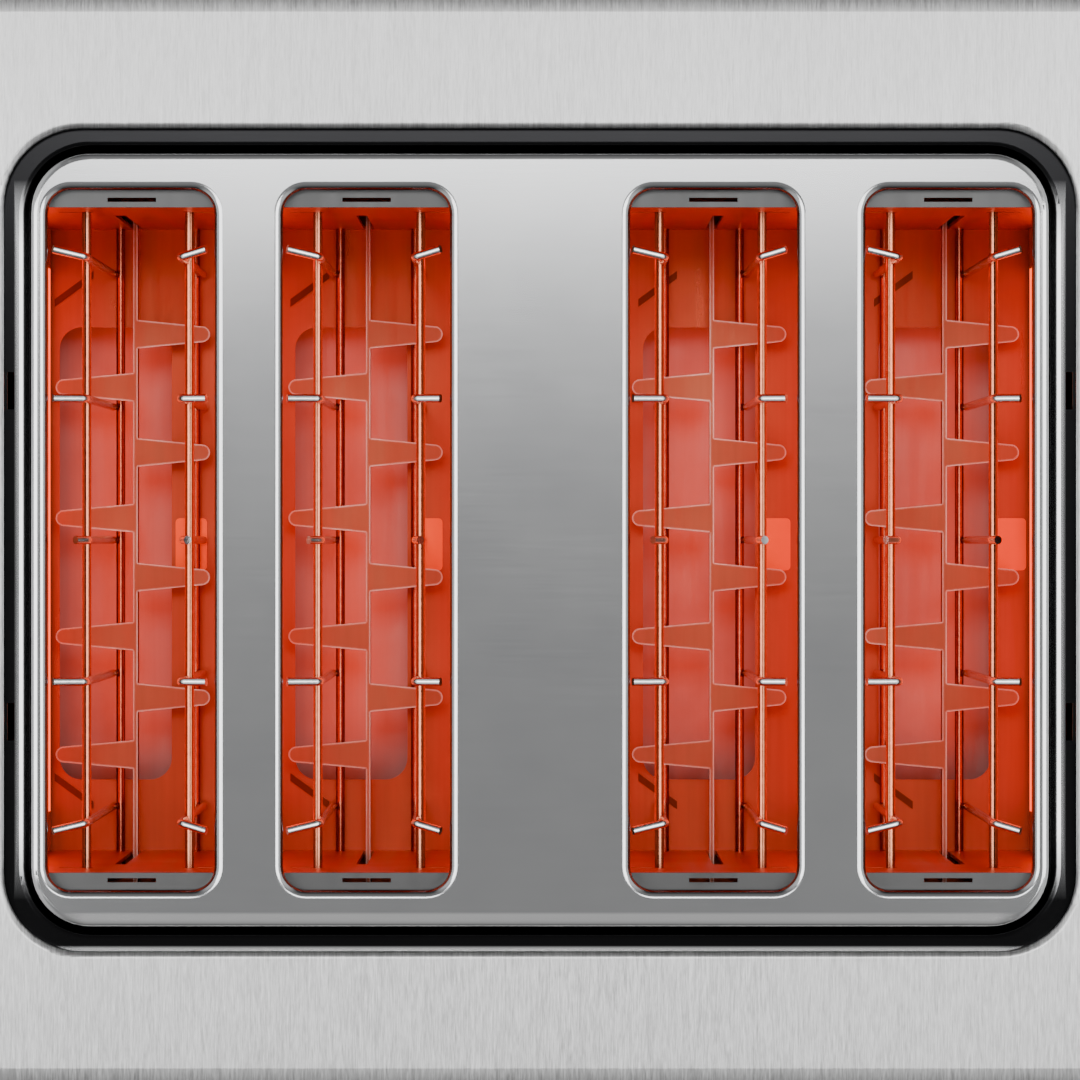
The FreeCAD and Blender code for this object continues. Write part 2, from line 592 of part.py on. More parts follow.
def heater_ribbon(x, face):
    """The flat ribbon on one face of a mica sheet, running to and fro up the sheet."""
    surface = x + face * (BOARD_THICKNESS / 2 + RIBBON_THICKNESS / 2)
    thick = (surface - RIBBON_THICKNESS / 2, surface + RIBBON_THICKNESS / 2)
    ribbon = None
    for run in range(RIBBON_RUNS):
        z = RIBBON_FIRST_Z + RIBBON_PITCH * run
        strip = block(thick, (-RIBBON_HALF, RIBBON_HALF), (z - RIBBON_WIDTH / 2, z + RIBBON_WIDTH / 2))
        ribbon = strip if ribbon is None else ribbon.fuse(strip)
        if run < RIBBON_RUNS - 1:
            end = RIBBON_HALF if run % 2 == 0 else -RIBBON_HALF + RIBBON_WIDTH
            joint = block(thick, (end - RIBBON_WIDTH, end), (z, z + RIBBON_PITCH))
            ribbon = ribbon.fuse(joint)
    return ribbon.removeSplitter()


def heater_ribbons(side):
    """The ribbons of one bank: one face of each outer sheet and both faces of the middle one."""
    near, middle, far = (side * (BANK_X - SLOT_PITCH), side * BANK_X, side * (BANK_X + SLOT_PITCH))
    faces = [(near, side), (middle, -1), (middle, 1), (far, -side)]
    return Part.makeCompound([heater_ribbon(x, face) for x, face in faces])


# ================================================================ bread guides
def bread_guide(x, side):
    """A welded cage on one side of a slot: five flared upright wires on two long rods. The lower
    rod is its pivot."""
    pivot = (x + side * GUIDE_PIVOT_X, -GUIDE_ROD_END, GUIDE_PIVOT_Z)
    upper = (x + side * GUIDE_UPPER_X, -GUIDE_ROD_END, GUIDE_UPPER_Z)
    guide = rod("y", pivot, 2 * GUIDE_ROD_END, GUIDE_ROD)
    guide = guide.fuse(rod("y", upper, 2 * GUIDE_ROD_END, GUIDE_ROD))
    for i in range(-2, 3):
        y = i * GUIDE_SPACING
        splay = GUIDE_SPLAY * (i / 2) if abs(i) == 2 else 0.0
        tip = GUIDE_TIP_X[side] if i else GUIDE_TIP_X[side] - GUIDE_MIDDLE_SHORTER
        tip_z = GUIDE_TIP_Z if i else GUIDE_TIP_Z - GUIDE_MIDDLE_LOWER
        bend_z = tip_z - GUIDE_FLARE_RISE
        wire = filleted_tube([(x + side * GUIDE_X, y, GUIDE_PIVOT_Z),
                              (x + side * GUIDE_X, y, bend_z),
                              (x + side * tip, y + splay, tip_z)], GUIDE_BEND, GUIDE_WIRE)
        guide = guide.fuse(wire)
    return guide


# ================================================================ carriages
def bread_rack(x, side):
    """The strip under one slice, with fingers bent out to both sides at its top edge, and a
    riveting tab at its front end."""
    front = BRACKET_FRONT + BRACKET_SHEET
    rack = block((x - RACK_SHEET / 2, x + RACK_SHEET / 2), (front, RACK_END), (RACK_LOW, RACK_TOP))
    tab_x = mirrored(0.0, 9.0, side)
    rack = rack.fuse(block((x + tab_x[0], x + tab_x[1]), (front, front + RACK_SHEET), (RACK_LOW, RACK_TOP)))
    for way, places in FINGER_Y.items():
        for y in places:
            root, tip = FINGER_ROOT / 2, FINGER_TIP / 2
            straight = FINGER_REACH[way] - tip
            outline = [
                Part.LineSegment(Vector(x, y - root, 0), Vector(x + way * straight, y - tip, 0)).toShape(),
                Part.Arc(Vector(x + way * straight, y - tip, 0), Vector(x + way * FINGER_REACH[way], y, 0),
                         Vector(x + way * straight, y + tip, 0)).toShape(),
                Part.LineSegment(Vector(x + way * straight, y + tip, 0), Vector(x, y + root, 0)).toShape(),
                Part.LineSegment(Vector(x, y + root, 0), Vector(x, y - root, 0)).toShape(),
            ]
            finger = Part.Face(Part.Wire(outline)).extrude(Vector(0, 0, RACK_SHEET))
            finger.translate(Vector(0, 0, RACK_TOP - RACK_SHEET))
            rack = rack.fuse(finger)
    return rack.removeSplitter()


def carriage(side):
    """The pressed bracket that joins two bread racks, its sleeve on the upright rod, the arm to
    the lever, the spring's hook tab and the arm over the magnet."""
    x = side * BANK_X
    back = BRACKET_FRONT + BRACKET_SHEET
    body = block((x - BRACKET_HALF_WIDTH, x + BRACKET_HALF_WIDTH), (BRACKET_FRONT, back),
                 (BRACKET_LOW, BRACKET_HIGH))
    sleeve = rod("z", (x, ROD_Y, BRACKET_LOW + 2), BRACKET_HIGH - BRACKET_LOW, SLEEVE_RADIUS)
    web = block((x - 4, x + 4), (ROD_Y, BRACKET_FRONT + 0.5), (BRACKET_LOW + 4, BRACKET_HIGH))
    arm = extruded_outline(
        [(x - ARM_HALF, ROD_Y - 3, 50), (x - ARM_HALF, ROD_Y - 3, 72), (x - ARM_HALF, ROD_Y - 12, ARM_HIGH),
         (x - ARM_HALF, ARM_END, ARM_HIGH), (x - ARM_HALF, ARM_END, ARM_LOW),
         (x - ARM_HALF, ROD_Y - 16, ARM_LOW), (x - ARM_HALF, ROD_Y - 8, 50)], (2 * ARM_HALF, 0, 0))
    hook = block(mirrored(BANK_X + SPRING_OFFSET - 5, BANK_X + SPRING_OFFSET + 5, side),
                 (ROD_Y - 4, BRACKET_FRONT + 0.5), (BRACKET_HIGH - 1.6, BRACKET_HIGH))
    keeper_arm = block(mirrored(MAGNET_X - 4, MAGNET_X + 4, side), (MAGNET_Y - 6, BRACKET_FRONT + 0.5),
                       (MAGNET_TOP + 1.8, MAGNET_TOP + 3.4))
    body = body.fuse([sleeve, web, arm, hook, keeper_arm])
    bore = rod("z", (x, ROD_Y, BRACKET_LOW - 5), 60, ROD_RADIUS + SLEEVE_CLEARANCE)
    return body.cut(bore).removeSplitter()


def armature(side):
    """The steel keeper under the carriage that the magnet holds down."""
    x = side * MAGNET_X
    plate = rounded_block(18.0, 14.0, 1.5, (MAGNET_TOP + 0.2, MAGNET_TOP + 1.8), (x, MAGNET_Y))
    return plate


def slide_rods():
    rods = [rod("z", (side * BANK_X, ROD_Y, ROD_BOTTOM), LEDGE_TOP - ROD_BOTTOM, ROD_RADIUS)
            for side in (-1, 1)]
    return Part.makeCompound(rods)


def lift_spring(side):
    """The stretched coil spring that lifts one carriage once its latch lets go."""
    height = SPRING_TOP - SPRING_BOTTOM
    helix = Part.makeLongHelix(height / SPRING_TURNS, height, SPRING_RADIUS)
    section = Part.Wire(Part.makeCircle(SPRING_WIRE, Vector(SPRING_RADIUS, 0, 0), Vector(0, 1, 0)))
    spring = Part.Solid(Part.Wire(helix.Edges).makePipeShell([section], True, True))
    spring.translate(Vector(side * (BANK_X + SPRING_OFFSET), ROD_Y, SPRING_BOTTOM))
    return spring


def electromagnet(side):
    """The latch magnet: a wound bobbin on a steel foot, with its pole under the keeper."""
    x = side * MAGNET_X
    foot = block((x - 8, x + 8), (MAGNET_Y - 7, MAGNET_Y + 7), (BASE_RIM, BASE_RIM + 2))
    coil = rod("z", (x, MAGNET_Y, BASE_RIM + 3.4), 12.0, 7.0)
    flanges = [rod("z", (x, MAGNET_Y, z), 1.4, 8.0) for z in (BASE_RIM + 2, BASE_RIM + 15.4)]
    pole = rod("z", (x, MAGNET_Y, BASE_RIM + 10), MAGNET_TOP - BASE_RIM - 10, 3.0)
    return foot.fuse([coil, *flanges, pole]).removeSplitter()


# ================================================================ controls
def lever_knob(side):
    """The thumb lever: a rounded bar on the end of the carriage's arm."""
    x = side * BANK_X
    front = -HALF_DEPTH - LEVER_REACH
    knob = block((x - KNOB_HALF_WIDTH, x + KNOB_HALF_WIDTH), (front, KNOB_BACK), (KNOB_LOW, KNOB_HIGH))
    upright = [e for e in knob.Edges if e.BoundBox.ZLength > 5 and e.BoundBox.YMin < front + 0.1]
    knob = knob.makeFillet(7.0, upright)
    level = [e for e in knob.Edges if e.BoundBox.ZLength < 0.01 and e.BoundBox.YMin < KNOB_BACK - 0.1]
    knob = knob.makeFillet(2.5, level)
    scoop = rod("x", (x - 14.0, front + 8.0, KNOB_HIGH + 7.2), 28.0, 9.0)
    knob = knob.cut(scoop)
    socket = block((x - ARM_HALF - 0.05, x + ARM_HALF + 0.05), (ARM_END - 0.05, KNOB_BACK + 1),
                   (ARM_LOW - 0.05, ARM_HIGH + 0.05))
    return knob.cut(socket)


def lever_bezels():
    """The moulded frames round the two lever slots."""
    low, high = ARM_LOW - 8, ARM_HIGH + CARRIAGE_TRAVEL + 8
    frames = []
    for side in (-1, 1):
        centre = (side * BANK_X, (low + high) / 2)
        front = (-HALF_DEPTH - BEZEL_SHEET, -HALF_DEPTH)
        frame = facing_block(2 * BEZEL_HALF_WIDTH, high - low, 4.0, front, centre)
        edges = [e for e in frame.Edges if e.BoundBox.YMax < front[0] + 0.01]
        frame = frame.makeFillet(0.6, edges)
        slot = facing_block(4.6, high - low - 12, 2.0, (front[0] - 1, front[1] + 1), centre)
        frames.append(frame.cut(slot))
    return Part.makeCompound(frames)


def control_panel():
    """The gloss fascia for both banks' dials and buttons, with posts for the circuit boards."""
    centre = (0.0, (PANEL_LOW + PANEL_HIGH) / 2)
    panel = facing_block(2 * PANEL_HALF_WIDTH, PANEL_HIGH - PANEL_LOW, 6.0,
                         (PANEL_FRONT, -HALF_DEPTH), centre)
    panel = panel.makeFillet(0.8, [e for e in panel.Edges if e.BoundBox.YMax < PANEL_FRONT + 0.01])
    for side in (-1, 1):
        for x in (10.0, 36.0):
            for z in (PANEL_LOW + 8, PANEL_HIGH - 6.5):
                post = rod("y", (side * x, -HALF_DEPTH - 0.5, z), BOARD_FACE + HALF_DEPTH + 0.5, 2.2)
                panel = panel.fuse(post)
        through = (PANEL_FRONT - 1, -HALF_DEPTH + 1)
        panel = panel.cut(rod("y", (side * CONTROL_X, through[0], DIAL_Z), 5.0, SHAFT_RADIUS + 0.6))
        for z in BUTTON_Z.values():
            hole = facing_block(BUTTON_WIDTH + 2 * BUTTON_GAP, BUTTON_HEIGHT + 2 * BUTTON_GAP, 4.4,
                                through, (side * CONTROL_X, z))
            panel = panel.cut(hole)
    return panel.removeSplitter()


def dial(side):
    """The browning dial: a fluted knob with a pointer groove, and its shaft."""
    x = side * CONTROL_X
    front = DIAL_BACK - DIAL_LENGTH
    knob = rod("y", (x, front, DIAL_Z), DIAL_LENGTH, DIAL_RADIUS)
    knob = knob.makeFillet(1.8, [e for e in knob.Edges if e.BoundBox.YMax < front + 0.01])
    for i in range(24):
        angle = 2 * math.pi * (i + 0.5) / 24
        reach = DIAL_RADIUS + 0.5
        place = (x + reach * math.cos(angle), front + 3.0, DIAL_Z + reach * math.sin(angle))
        knob = knob.cut(rod("y", place, DIAL_LENGTH, 1.1))
    knob = knob.cut(block((x - 0.7, x + 0.7), (front - 1, front + 0.8), (DIAL_Z + 5, DIAL_Z + 13)))
    shaft = rod("y", (x, DIAL_BACK - 1, DIAL_Z), BOARD_FACE - DIAL_BACK - 0.2, SHAFT_RADIUS)
    return knob.fuse(shaft).removeSplitter()


def button(side, z):
    """A push button: an oblong cap, a flange that keeps it in, and a plunger."""
    centre = (side * CONTROL_X, z)
    cap = facing_block(BUTTON_WIDTH, BUTTON_HEIGHT, 4.2, (BUTTON_FRONT, -HALF_DEPTH + 0.6), centre)
    cap = cap.makeFillet(0.9, [e for e in cap.Edges if e.BoundBox.YMax < BUTTON_FRONT + 0.01])
    flange = facing_block(BUTTON_WIDTH + 3, BUTTON_HEIGHT + 3, 3.0,
                          (-HALF_DEPTH + 0.3, -HALF_DEPTH + 1.5), centre)
    plunger = rod("y", (side * CONTROL_X, -HALF_DEPTH + 1.0, z), 4.8, 2.0)
    return cap.fuse([flange, plunger]).removeSplitter()


def circuit_board(side):
    """One bank's timer board, with its dial's resistor, three switches and a few parts."""
    wide = mirrored(5.0, 42.0, side)
    back = BOARD_FACE + CIRCUIT_SHEET
    pieces = [block(wide, (BOARD_FACE, back), (PANEL_LOW + 1, PANEL_HIGH - 1))]
    x = side * CONTROL_X
    pot = block((x - 8, x + 8), (BOARD_FACE - 6, BOARD_FACE), (DIAL_Z - 8, DIAL_Z + 8))
    pieces.append(pot.cut(rod("y", (x, BOARD_FACE - 7, DIAL_Z), 6.5, SHAFT_RADIUS + 0.08)))
    for z in BUTTON_Z.values():
        switch = block((x - 3, x + 3), (BOARD_FACE - 4, BOARD_FACE), (z - 3, z + 3))
        nub = rod("y", (x, BOARD_FACE - 4.8, z), 1.0, 1.6)
        pieces.append(switch.fuse(nub))
    pieces.append(block((x - 6, x + 6), (back, back + 9), (104, 122)))
    pieces.append(rod("y", (x + side * 9, back, 92.0), 12.0, 4.0))
    pieces.append(block((x - 9, x + 9), (back, back + 3), (70, 78)))
    return Part.makeCompound(pieces)


# ================================================================ mains
def cord_gland():
    """The bush in the back panel that the supply lead passes through: a flanged sleeve and a nut."""
    outer_end = HALF_DEPTH + GLAND_REACH
    sleeve = rod("y", (0, GLAND_INNER_END, GLAND_Z), outer_end - GLAND_INNER_END, 5.9)
    sleeve = sleeve.makeFillet(1.2, [e for e in sleeve.Edges if e.BoundBox.YMin > outer_end - 0.01])
    flange = rod("y", (0, HALF_DEPTH + 0.05, GLAND_Z), 2.6, 10.0)
    flange = flange.makeFillet(0.8, [e for e in flange.Edges if e.BoundBox.YMin > HALF_DEPTH + 2.6])
    nut = rod("y", (0, HALF_DEPTH - SHEET - 3.05, GLAND_Z), 3.0, 9.0)
    bore = rod("y", (0, GLAND_INNER_END - 1, GLAND_Z), outer_end - GLAND_INNER_END + 2, GLAND_BORE)
    return sleeve.fuse([flange, nut]).cut(bore).removeSplitter()


def terminal_block():
    """The three-way ceramic block on the back bulkhead where the supply lead ends."""
    wall = CHAMBER_HALF + SHEET
    body = block((-21, 21), (wall, wall + 13), (120, 136))
    for i in (-1, 0, 1):
        body = body.cut(rod("z", (13.0 * i, wall + 7, 118), 20, 2.2))
        body = body.cut(rod("y", (13.0 * i, wall + 9, 128), 8, 2.6))
    return body


BOARD_NAMES = {
    -BANK_X - SLOT_PITCH: "heater_board_left_outer",
    -BANK_X: "heater_board_left_middle",
    -BANK_X + SLOT_PITCH: "heater_board_left_inner",
    BANK_X - SLOT_PITCH: "heater_board_right_inner",
    BANK_X: "heater_board_right_middle",
    BANK_X + SLOT_PITCH: "heater_board_right_outer",
}
SIDE_NAMES = {-1: "left", 1: "right"}


def all_parts():
    """Every sub-part by its node name."""
    parts = {
        "top_cover": top_cover(),
        "front_panel": front_panel(),
        "back_panel": back_panel(),
        "top_plate": top_plate(),
        "base_pan": base_pan(),
        "base_screws": base_screws(),
        "rubber_feet": rubber_feet(),
        "front_bulkhead": bulkhead(-1),
        "back_bulkhead": bulkhead(1),
        "chamber_floor": chamber_floor(),
        "centre_heat_shield": centre_heat_shield(),
        "slide_rods": slide_rods(),
        "lever_bezels": lever_bezels(),
        "control_panel": control_panel(),
        "cord_gland": cord_gland(),
        "terminal_block": terminal_block(),
        "outer_reflectors": Part.makeCompound([outer_reflector(-1), outer_reflector(1)]),
        "circuit_boards": Part.makeCompound([circuit_board(-1), circuit_board(1)]),
    }
    for x, name in BOARD_NAMES.items():
        parts[name] = heater_board(x)
    for side, name in SIDE_NAMES.items():
        parts["end_cap_" + name] = end_cap(side)
        parts["crumb_tray_" + name] = crumb_tray(side)
        parts["heater_ribbons_" + name] = heater_ribbons(side)
        parts["carriage_" + name] = carriage(side)
        parts["armature_" + name] = armature(side)
        parts["lift_spring_" + name] = lift_spring(side)
        parts["electromagnet_" + name] = electromagnet(side)
        parts["lever_knob_" + name] = lever_knob(side)
        parts["dial_" + name] = dial(side)
        for use, z in BUTTON_Z.items():
            parts["button_" + use + "_" + name] = button(side, z)
    for number, x in enumerate(SLOT_X, 1):
        bank = -1 if number < 3 else 1
        rack_side = bank if number in (2, 3) else -bank
        parts["bread_rack_%d" % number] = bread_rack(RACK_X[number - 1], rack_side)
        for side, name in SIDE_NAMES.items():
            parts["bread_guide_%d_%s" % (number, name)] = bread_guide(x, side)
    return parts


def export_parts(folder="parts"):
    os.makedirs(folder, exist_ok=True)
    for name, shape in sorted(all_parts().items()):
        shape.translate(Vector(0, Y_SHIFT, 0))
        solids = shape.Solids
        sound = all(s.isValid() and s.isClosed() and s.Volume > 0 for s in solids)
        print("%-28s solids %2d  volume %10.1f  %s" % (name, len(solids), shape.Volume,
                                                      "ok" if sound and solids else "NOT SOUND"))
        shape.exportStep(os.path.join(folder, name + ".step"))


if __name__ == "__main__":
    export_parts()
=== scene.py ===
import math
import bpy
import bmesh
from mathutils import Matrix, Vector


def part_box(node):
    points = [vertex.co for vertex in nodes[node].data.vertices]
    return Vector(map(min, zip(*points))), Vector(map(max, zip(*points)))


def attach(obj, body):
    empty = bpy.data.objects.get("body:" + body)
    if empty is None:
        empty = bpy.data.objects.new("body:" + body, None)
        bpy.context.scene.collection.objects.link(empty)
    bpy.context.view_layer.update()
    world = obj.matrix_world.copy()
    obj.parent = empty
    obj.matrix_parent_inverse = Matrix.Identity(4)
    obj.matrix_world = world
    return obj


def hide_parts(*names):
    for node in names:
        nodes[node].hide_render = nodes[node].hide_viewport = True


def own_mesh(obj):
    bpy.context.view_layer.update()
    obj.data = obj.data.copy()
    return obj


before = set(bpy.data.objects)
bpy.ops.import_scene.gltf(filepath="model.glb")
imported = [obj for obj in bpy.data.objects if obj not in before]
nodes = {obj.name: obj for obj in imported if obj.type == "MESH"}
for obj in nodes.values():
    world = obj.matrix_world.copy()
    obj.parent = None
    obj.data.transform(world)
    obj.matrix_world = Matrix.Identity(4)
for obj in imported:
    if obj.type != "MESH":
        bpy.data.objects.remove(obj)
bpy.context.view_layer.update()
SIDES = ("left", "right")

# ---------------------------------------------------------------- camera, seen from straight above
TOP_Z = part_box("top_cover")[1].z
PLATE_LOW, PLATE_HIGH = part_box("top_plate")
CENTRE = (PLATE_LOW + PLATE_HIGH) / 2
VIEW_WIDTH = 0.231
VIEW_DISTANCE = 2.0
camera_data = bpy.data.cameras.new("camera")
camera_data.sensor_width = 36.0
camera_data.lens = 36.0 * VIEW_DISTANCE / VIEW_WIDTH
camera_data.clip_start = 0.05
camera_data.clip_end = 20.0
camera = bpy.data.objects.new("camera", camera_data)
camera.location = (CENTRE.x, CENTRE.y, TOP_Z + VIEW_DISTANCE)
bpy.context.scene.collection.objects.link(camera)
bpy.context.scene.camera = camera


# ---------------------------------------------------------------- node helpers
class Paint:
    """One procedural material. Textures use object coordinates, so their scales are per metre."""

    def __init__(self, name, colour, metallic=0.0, roughness=0.5, **fixed):
        self.material = bpy.data.materials.new(name)
        self.material.use_nodes = True
        self.tree = self.material.node_tree
        self.shader = self.tree.nodes["Principled BSDF"]
        self.shader.inputs["Base Color"].default_value = (*colour, 1.0)
        self.shader.inputs["Metallic"].default_value = metallic
        self.shader.inputs["Roughness"].default_value = roughness
        for socket, value in fixed.items():
            self.shader.inputs[socket.replace("_", " ")].default_value = value
        self.place = self.tree.nodes.new("ShaderNodeTexCoord").outputs["Object"]
        self.height = None

    def add(self, kind, **settings):
        node = self.tree.nodes.new(kind)
        for name, value in settings.items():
            setattr(node, name, value)
        return node

    def link(self, out, into):
        self.tree.links.new(out, into)

    def scaled(self, scale):
        mapping = self.add("ShaderNodeMapping")
        mapping.inputs["Scale"].default_value = scale
        self.link(self.place, mapping.inputs["Vector"])
        return mapping.outputs["Vector"]

    def noise(self, scale, detail=3.0, roughness=0.55, distortion=0.0):
        if not hasattr(scale, "__len__"):
            scale = (scale, scale, scale)
        node = self.add("ShaderNodeTexNoise")
        node.inputs["Scale"].default_value = 1.0
        node.inputs["Detail"].default_value = detail
        node.inputs["Roughness"].default_value = roughness
        node.inputs["Distortion"].default_value = distortion
        self.link(self.scaled(scale), node.inputs["Vector"])
        return node.outputs["Fac"]

    def cells(self, scale):
        node = self.add("ShaderNodeTexVoronoi", feature="F1")
        node.inputs["Scale"].default_value = scale
        self.link(self.place, node.inputs["Vector"])
        return node.outputs["Distance"]

    def span(self, value, low, high, start=0.3, end=0.7):
        node = self.add("ShaderNodeMapRange")
        node.inputs["From Min"].default_value = start
        node.inputs["From Max"].default_value = end
        node.inputs["To Min"].default_value = low
        node.inputs["To Max"].default_value = high
        self.link(value, node.inputs["Value"])
        return node.outputs["Result"]

    def ramp(self, value, stops):
        node = self.add("ShaderNodeValToRGB")
        while len(node.color_ramp.elements) < len(stops):
            node.color_ramp.elements.new(0.5)
        for element, (at, colour) in zip(node.color_ramp.elements, stops):
            element.position = at
            element.color = (*colour, 1.0)
        self.link(value, node.inputs["Fac"])
        return node.outputs["Color"]

    def blend(self, share, first, second):
        node = self.add("ShaderNodeMix", data_type="RGBA")
        self.link(share, node.inputs[0])
        for socket, colour in ((node.inputs[6], first), (node.inputs[7], second)):
            if hasattr(colour, "is_output"):
                self.link(colour, socket)
            else:
                socket.default_value = (*colour, 1.0)
        return node.outputs[2]

    def position(self):
        """The X, Y and Z of a point on the surface, in metres, as three sockets."""
        node = self.add("ShaderNodeSeparateXYZ")
        self.link(self.place, node.inputs[0])
        return node.outputs["X"], node.outputs["Y"], node.outputs["Z"]

    def times(self, first, *others):
        for other in others:
            first = self.math("MULTIPLY", first, other)
        return first

    def math(self, operation, first, second=None):
        node = self.add("ShaderNodeMath", operation=operation)
        for socket, value in zip(node.inputs, (first, second)):
            if value is None:
                continue
            if hasattr(value, "is_output"):
                self.link(value, socket)
            else:
                socket.default_value = value
        return node.outputs[0]

    def edge_share(self, radius):
        """0 on flat faces, rising to 1 on edges rounder than radius."""
        bevel = self.add("ShaderNodeBevel", samples=4)
        bevel.inputs["Radius"].default_value = radius
        normal = self.add("ShaderNodeNewGeometry").outputs["Normal"]
        dot = self.add("ShaderNodeVectorMath", operation="DOT_PRODUCT")
        self.link(bevel.outputs["Normal"], dot.inputs[0])
        self.link(normal, dot.inputs[1])
        return self.span(dot.outputs["Value"], 0.0, 1.0, 0.995, 0.9)

    def colour(self, socket):
        self.link(socket, self.shader.inputs["Base Color"])
        return self

    def roughness(self, socket):
        self.link(socket, self.shader.inputs["Roughness"])
        return self

    def bump(self, height, distance, strength=1.0):
        node = self.add("ShaderNodeBump")
        node.inputs["Strength"].default_value = strength
        node.inputs["Distance"].default_value = distance
        self.link(height, node.inputs["Height"])
        if self.height is not None:
            self.link(self.height, node.inputs["Normal"])
        self.height = node.outputs["Normal"]
        self.link(self.height, self.shader.inputs["Normal"])
        return self

    def grain_direction(self, axis="X", turn=0.25):
        tangent = self.add("ShaderNodeTangent", direction_type="RADIAL", axis=axis)
        self.link(tangent.outputs["Tangent"], self.shader.inputs["Tangent"])
        self.shader.inputs["Anisotropic Rotation"].default_value = turn
        return self


def grey(level):
    return (level, level, level)


def shade(colour, factor):
    return tuple(min(1.0, channel * factor) for channel in colour)


# ---------------------------------------------------------------- places that finishes change at
ISLAND_HALF_X = 0.1094
ISLAND_HALF_Y = 0.0832
ISLAND_CORNER = 0.013
RECESS_HALF_X = 0.1148
RECESS_HALF_Y = 0.0880
LIP_SHEET = 0.0013
LEDGE_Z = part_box("back_bulkhead")[1].z
FLOOR_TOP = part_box("chamber_floor")[1].z
PAD_Y = CENTRE.y - 0.001
PAD_HALF = 0.0068
# Heights where the guide wires change from heat tint and painted red glow to bright wire.
WIRE_TINT_AND_GLOW_ENDS = (0.158, 0.165)

# Heat tint and painted red glow: the red light of the glowing elements is painted into these colours
# of the steel inside the chamber.
HEAT_TINT_AND_GLOW = (0.52, 0.10, 0.045)
RACK_TINT_AND_GLOW = (0.46, 0.15, 0.08)


# ---------------------------------------------------------------- finishes
def brushed_sheet():
    """Brushed steel, with painted shade on the lip that turns down round the top plate."""
    p = Paint("brushed_sheet", grey(0.60), 1.0, 0.38, Anisotropic=0.7)
    fine = p.noise((3600.0, 240.0, 240.0), detail=3.0, roughness=0.65)
    broad = p.noise((1700.0, 40.0, 40.0), detail=2.0)
    hand = p.noise(11.0, detail=4.0)
    tone = p.math("ADD", p.math("MULTIPLY", fine, 0.78), p.math("MULTIPLY", broad, 0.22))
    steel = p.ramp(tone, ((0.34, grey(0.46)), (0.66, grey(0.75))))
    x, y, z = p.position()
    off_y = p.math("ABSOLUTE", p.math("SUBTRACT", y, CENTRE.y))
    inside_x = p.math("LESS_THAN", p.math("ABSOLUTE", x), RECESS_HALF_X + LIP_SHEET)
    inside_y = p.math("LESS_THAN", off_y, RECESS_HALF_Y + LIP_SHEET)
    low = p.span(z, 1.0, 0.0, TOP_Z - 0.0022, TOP_Z - 0.0014)
    shaded_lip_wall = p.times(inside_x, inside_y, low)
    # Painted shade: the lip wall turning down into the groove is coloured near-black.
    p.colour(p.blend(shaded_lip_wall, steel, grey(0.03)))
    worn = p.math("ADD", p.span(fine, 0.30, 0.46), p.span(hand, -0.02, 0.03))
    p.roughness(p.math("SUBTRACT", worn, p.math("MULTIPLY", shaded_lip_wall, 0.2)))
    return p.grain_direction().bump(fine, 0.00002)


def groove_shade_share(p):
    """1 where shade is painted near-black into the groove round the top plate: its front and back
    runs and the outer strip of its left and right runs, with a fade round the corners."""
    x, y, z = p.position()
    off_x = p.math("ABSOLUTE", x)
    forward = p.math("SUBTRACT", CENTRE.y, y)
    off_y = p.math("ABSOLUTE", forward)
    corner = p.add("ShaderNodeCombineXYZ")
    over_x = p.math("SUBTRACT", off_x, ISLAND_HALF_X - ISLAND_CORNER)
    over_y = p.math("SUBTRACT", off_y, ISLAND_HALF_Y - ISLAND_CORNER)
    p.link(p.math("MAXIMUM", over_x, 0.0), corner.inputs[0])
    p.link(p.math("MAXIMUM", over_y, 0.0), corner.inputs[1])
    away = p.add("ShaderNodeVectorMath", operation="LENGTH")
    p.link(corner.outputs[0], away.inputs[0])
    beyond = p.span(away.outputs["Value"], 0.0, 1.0, ISLAND_CORNER - 0.0006, ISLAND_CORNER - 0.0002)
    low = p.span(z, 1.0, 0.0, PLATE_HIGH.z - 0.0011, PLATE_HIGH.z - 0.0005)
    facing = p.add("ShaderNodeSeparateXYZ")
    p.link(p.add("ShaderNodeNewGeometry").outputs["Normal"], facing.inputs[0])
    outward = p.math("MULTIPLY", facing.outputs["X"], p.math("SIGN", x))
    inner_wall = p.span(outward, 0.0, 1.0, 0.75, 0.95)
    outer_strip = p.span(off_x, 0.0, 1.0, ISLAND_HALF_X + 0.0026, ISLAND_HALF_X + 0.0034)
    run = p.span(off_y, 0.0, 1.0, ISLAND_HALF_Y - 0.021, ISLAND_HALF_Y - 0.006)
    front_strip = p.span(forward, 1.0, 0.0, ISLAND_HALF_Y + 0.0038, ISLAND_HALF_Y + 0.0044)
    dark = p.math("MAXIMUM", run, p.math("MAXIMUM", outer_strip, inner_wall))
    return p.math("MULTIPLY", p.math("MULTIPLY", beyond, low), p.math("MULTIPLY", dark, front_strip))


def slot_wall_shade(p):
    """1 on the walls inside the slots, below their rounded rims, where shade is painted."""
    x, y, z = p.position()
    off_y = p.math("ABSOLUTE", p.math("SUBTRACT", y, CENTRE.y))
    inside_x = p.math("LESS_THAN", p.math("ABSOLUTE", x), ISLAND_HALF_X - 0.0025)
    inside_y = p.math("LESS_THAN", off_y, ISLAND_HALF_Y - 0.0025)
    low = p.span(z, 1.0, 0.0, PLATE_HIGH.z - 0.0011, PLATE_HIGH.z - 0.0004)
    return p.times(low, inside_x, inside_y)


def front_edge_highlight(p):
    """1 on the painted highlight along the front edge of the raised part of the top plate."""
    x, y, z = p.position()
    forward = p.math("SUBTRACT", CENTRE.y, y)
    strip = p.span(forward, 0.0, 1.0, ISLAND_HALF_Y - 0.0036, ISLAND_HALF_Y - 0.0030)
    off_x = p.math("ABSOLUTE", x)
    ends = p.span(off_x, 1.0, 0.0, ISLAND_HALF_X - 0.012, ISLAND_HALF_X - 0.006)
    return p.math("MULTIPLY", strip, ends)


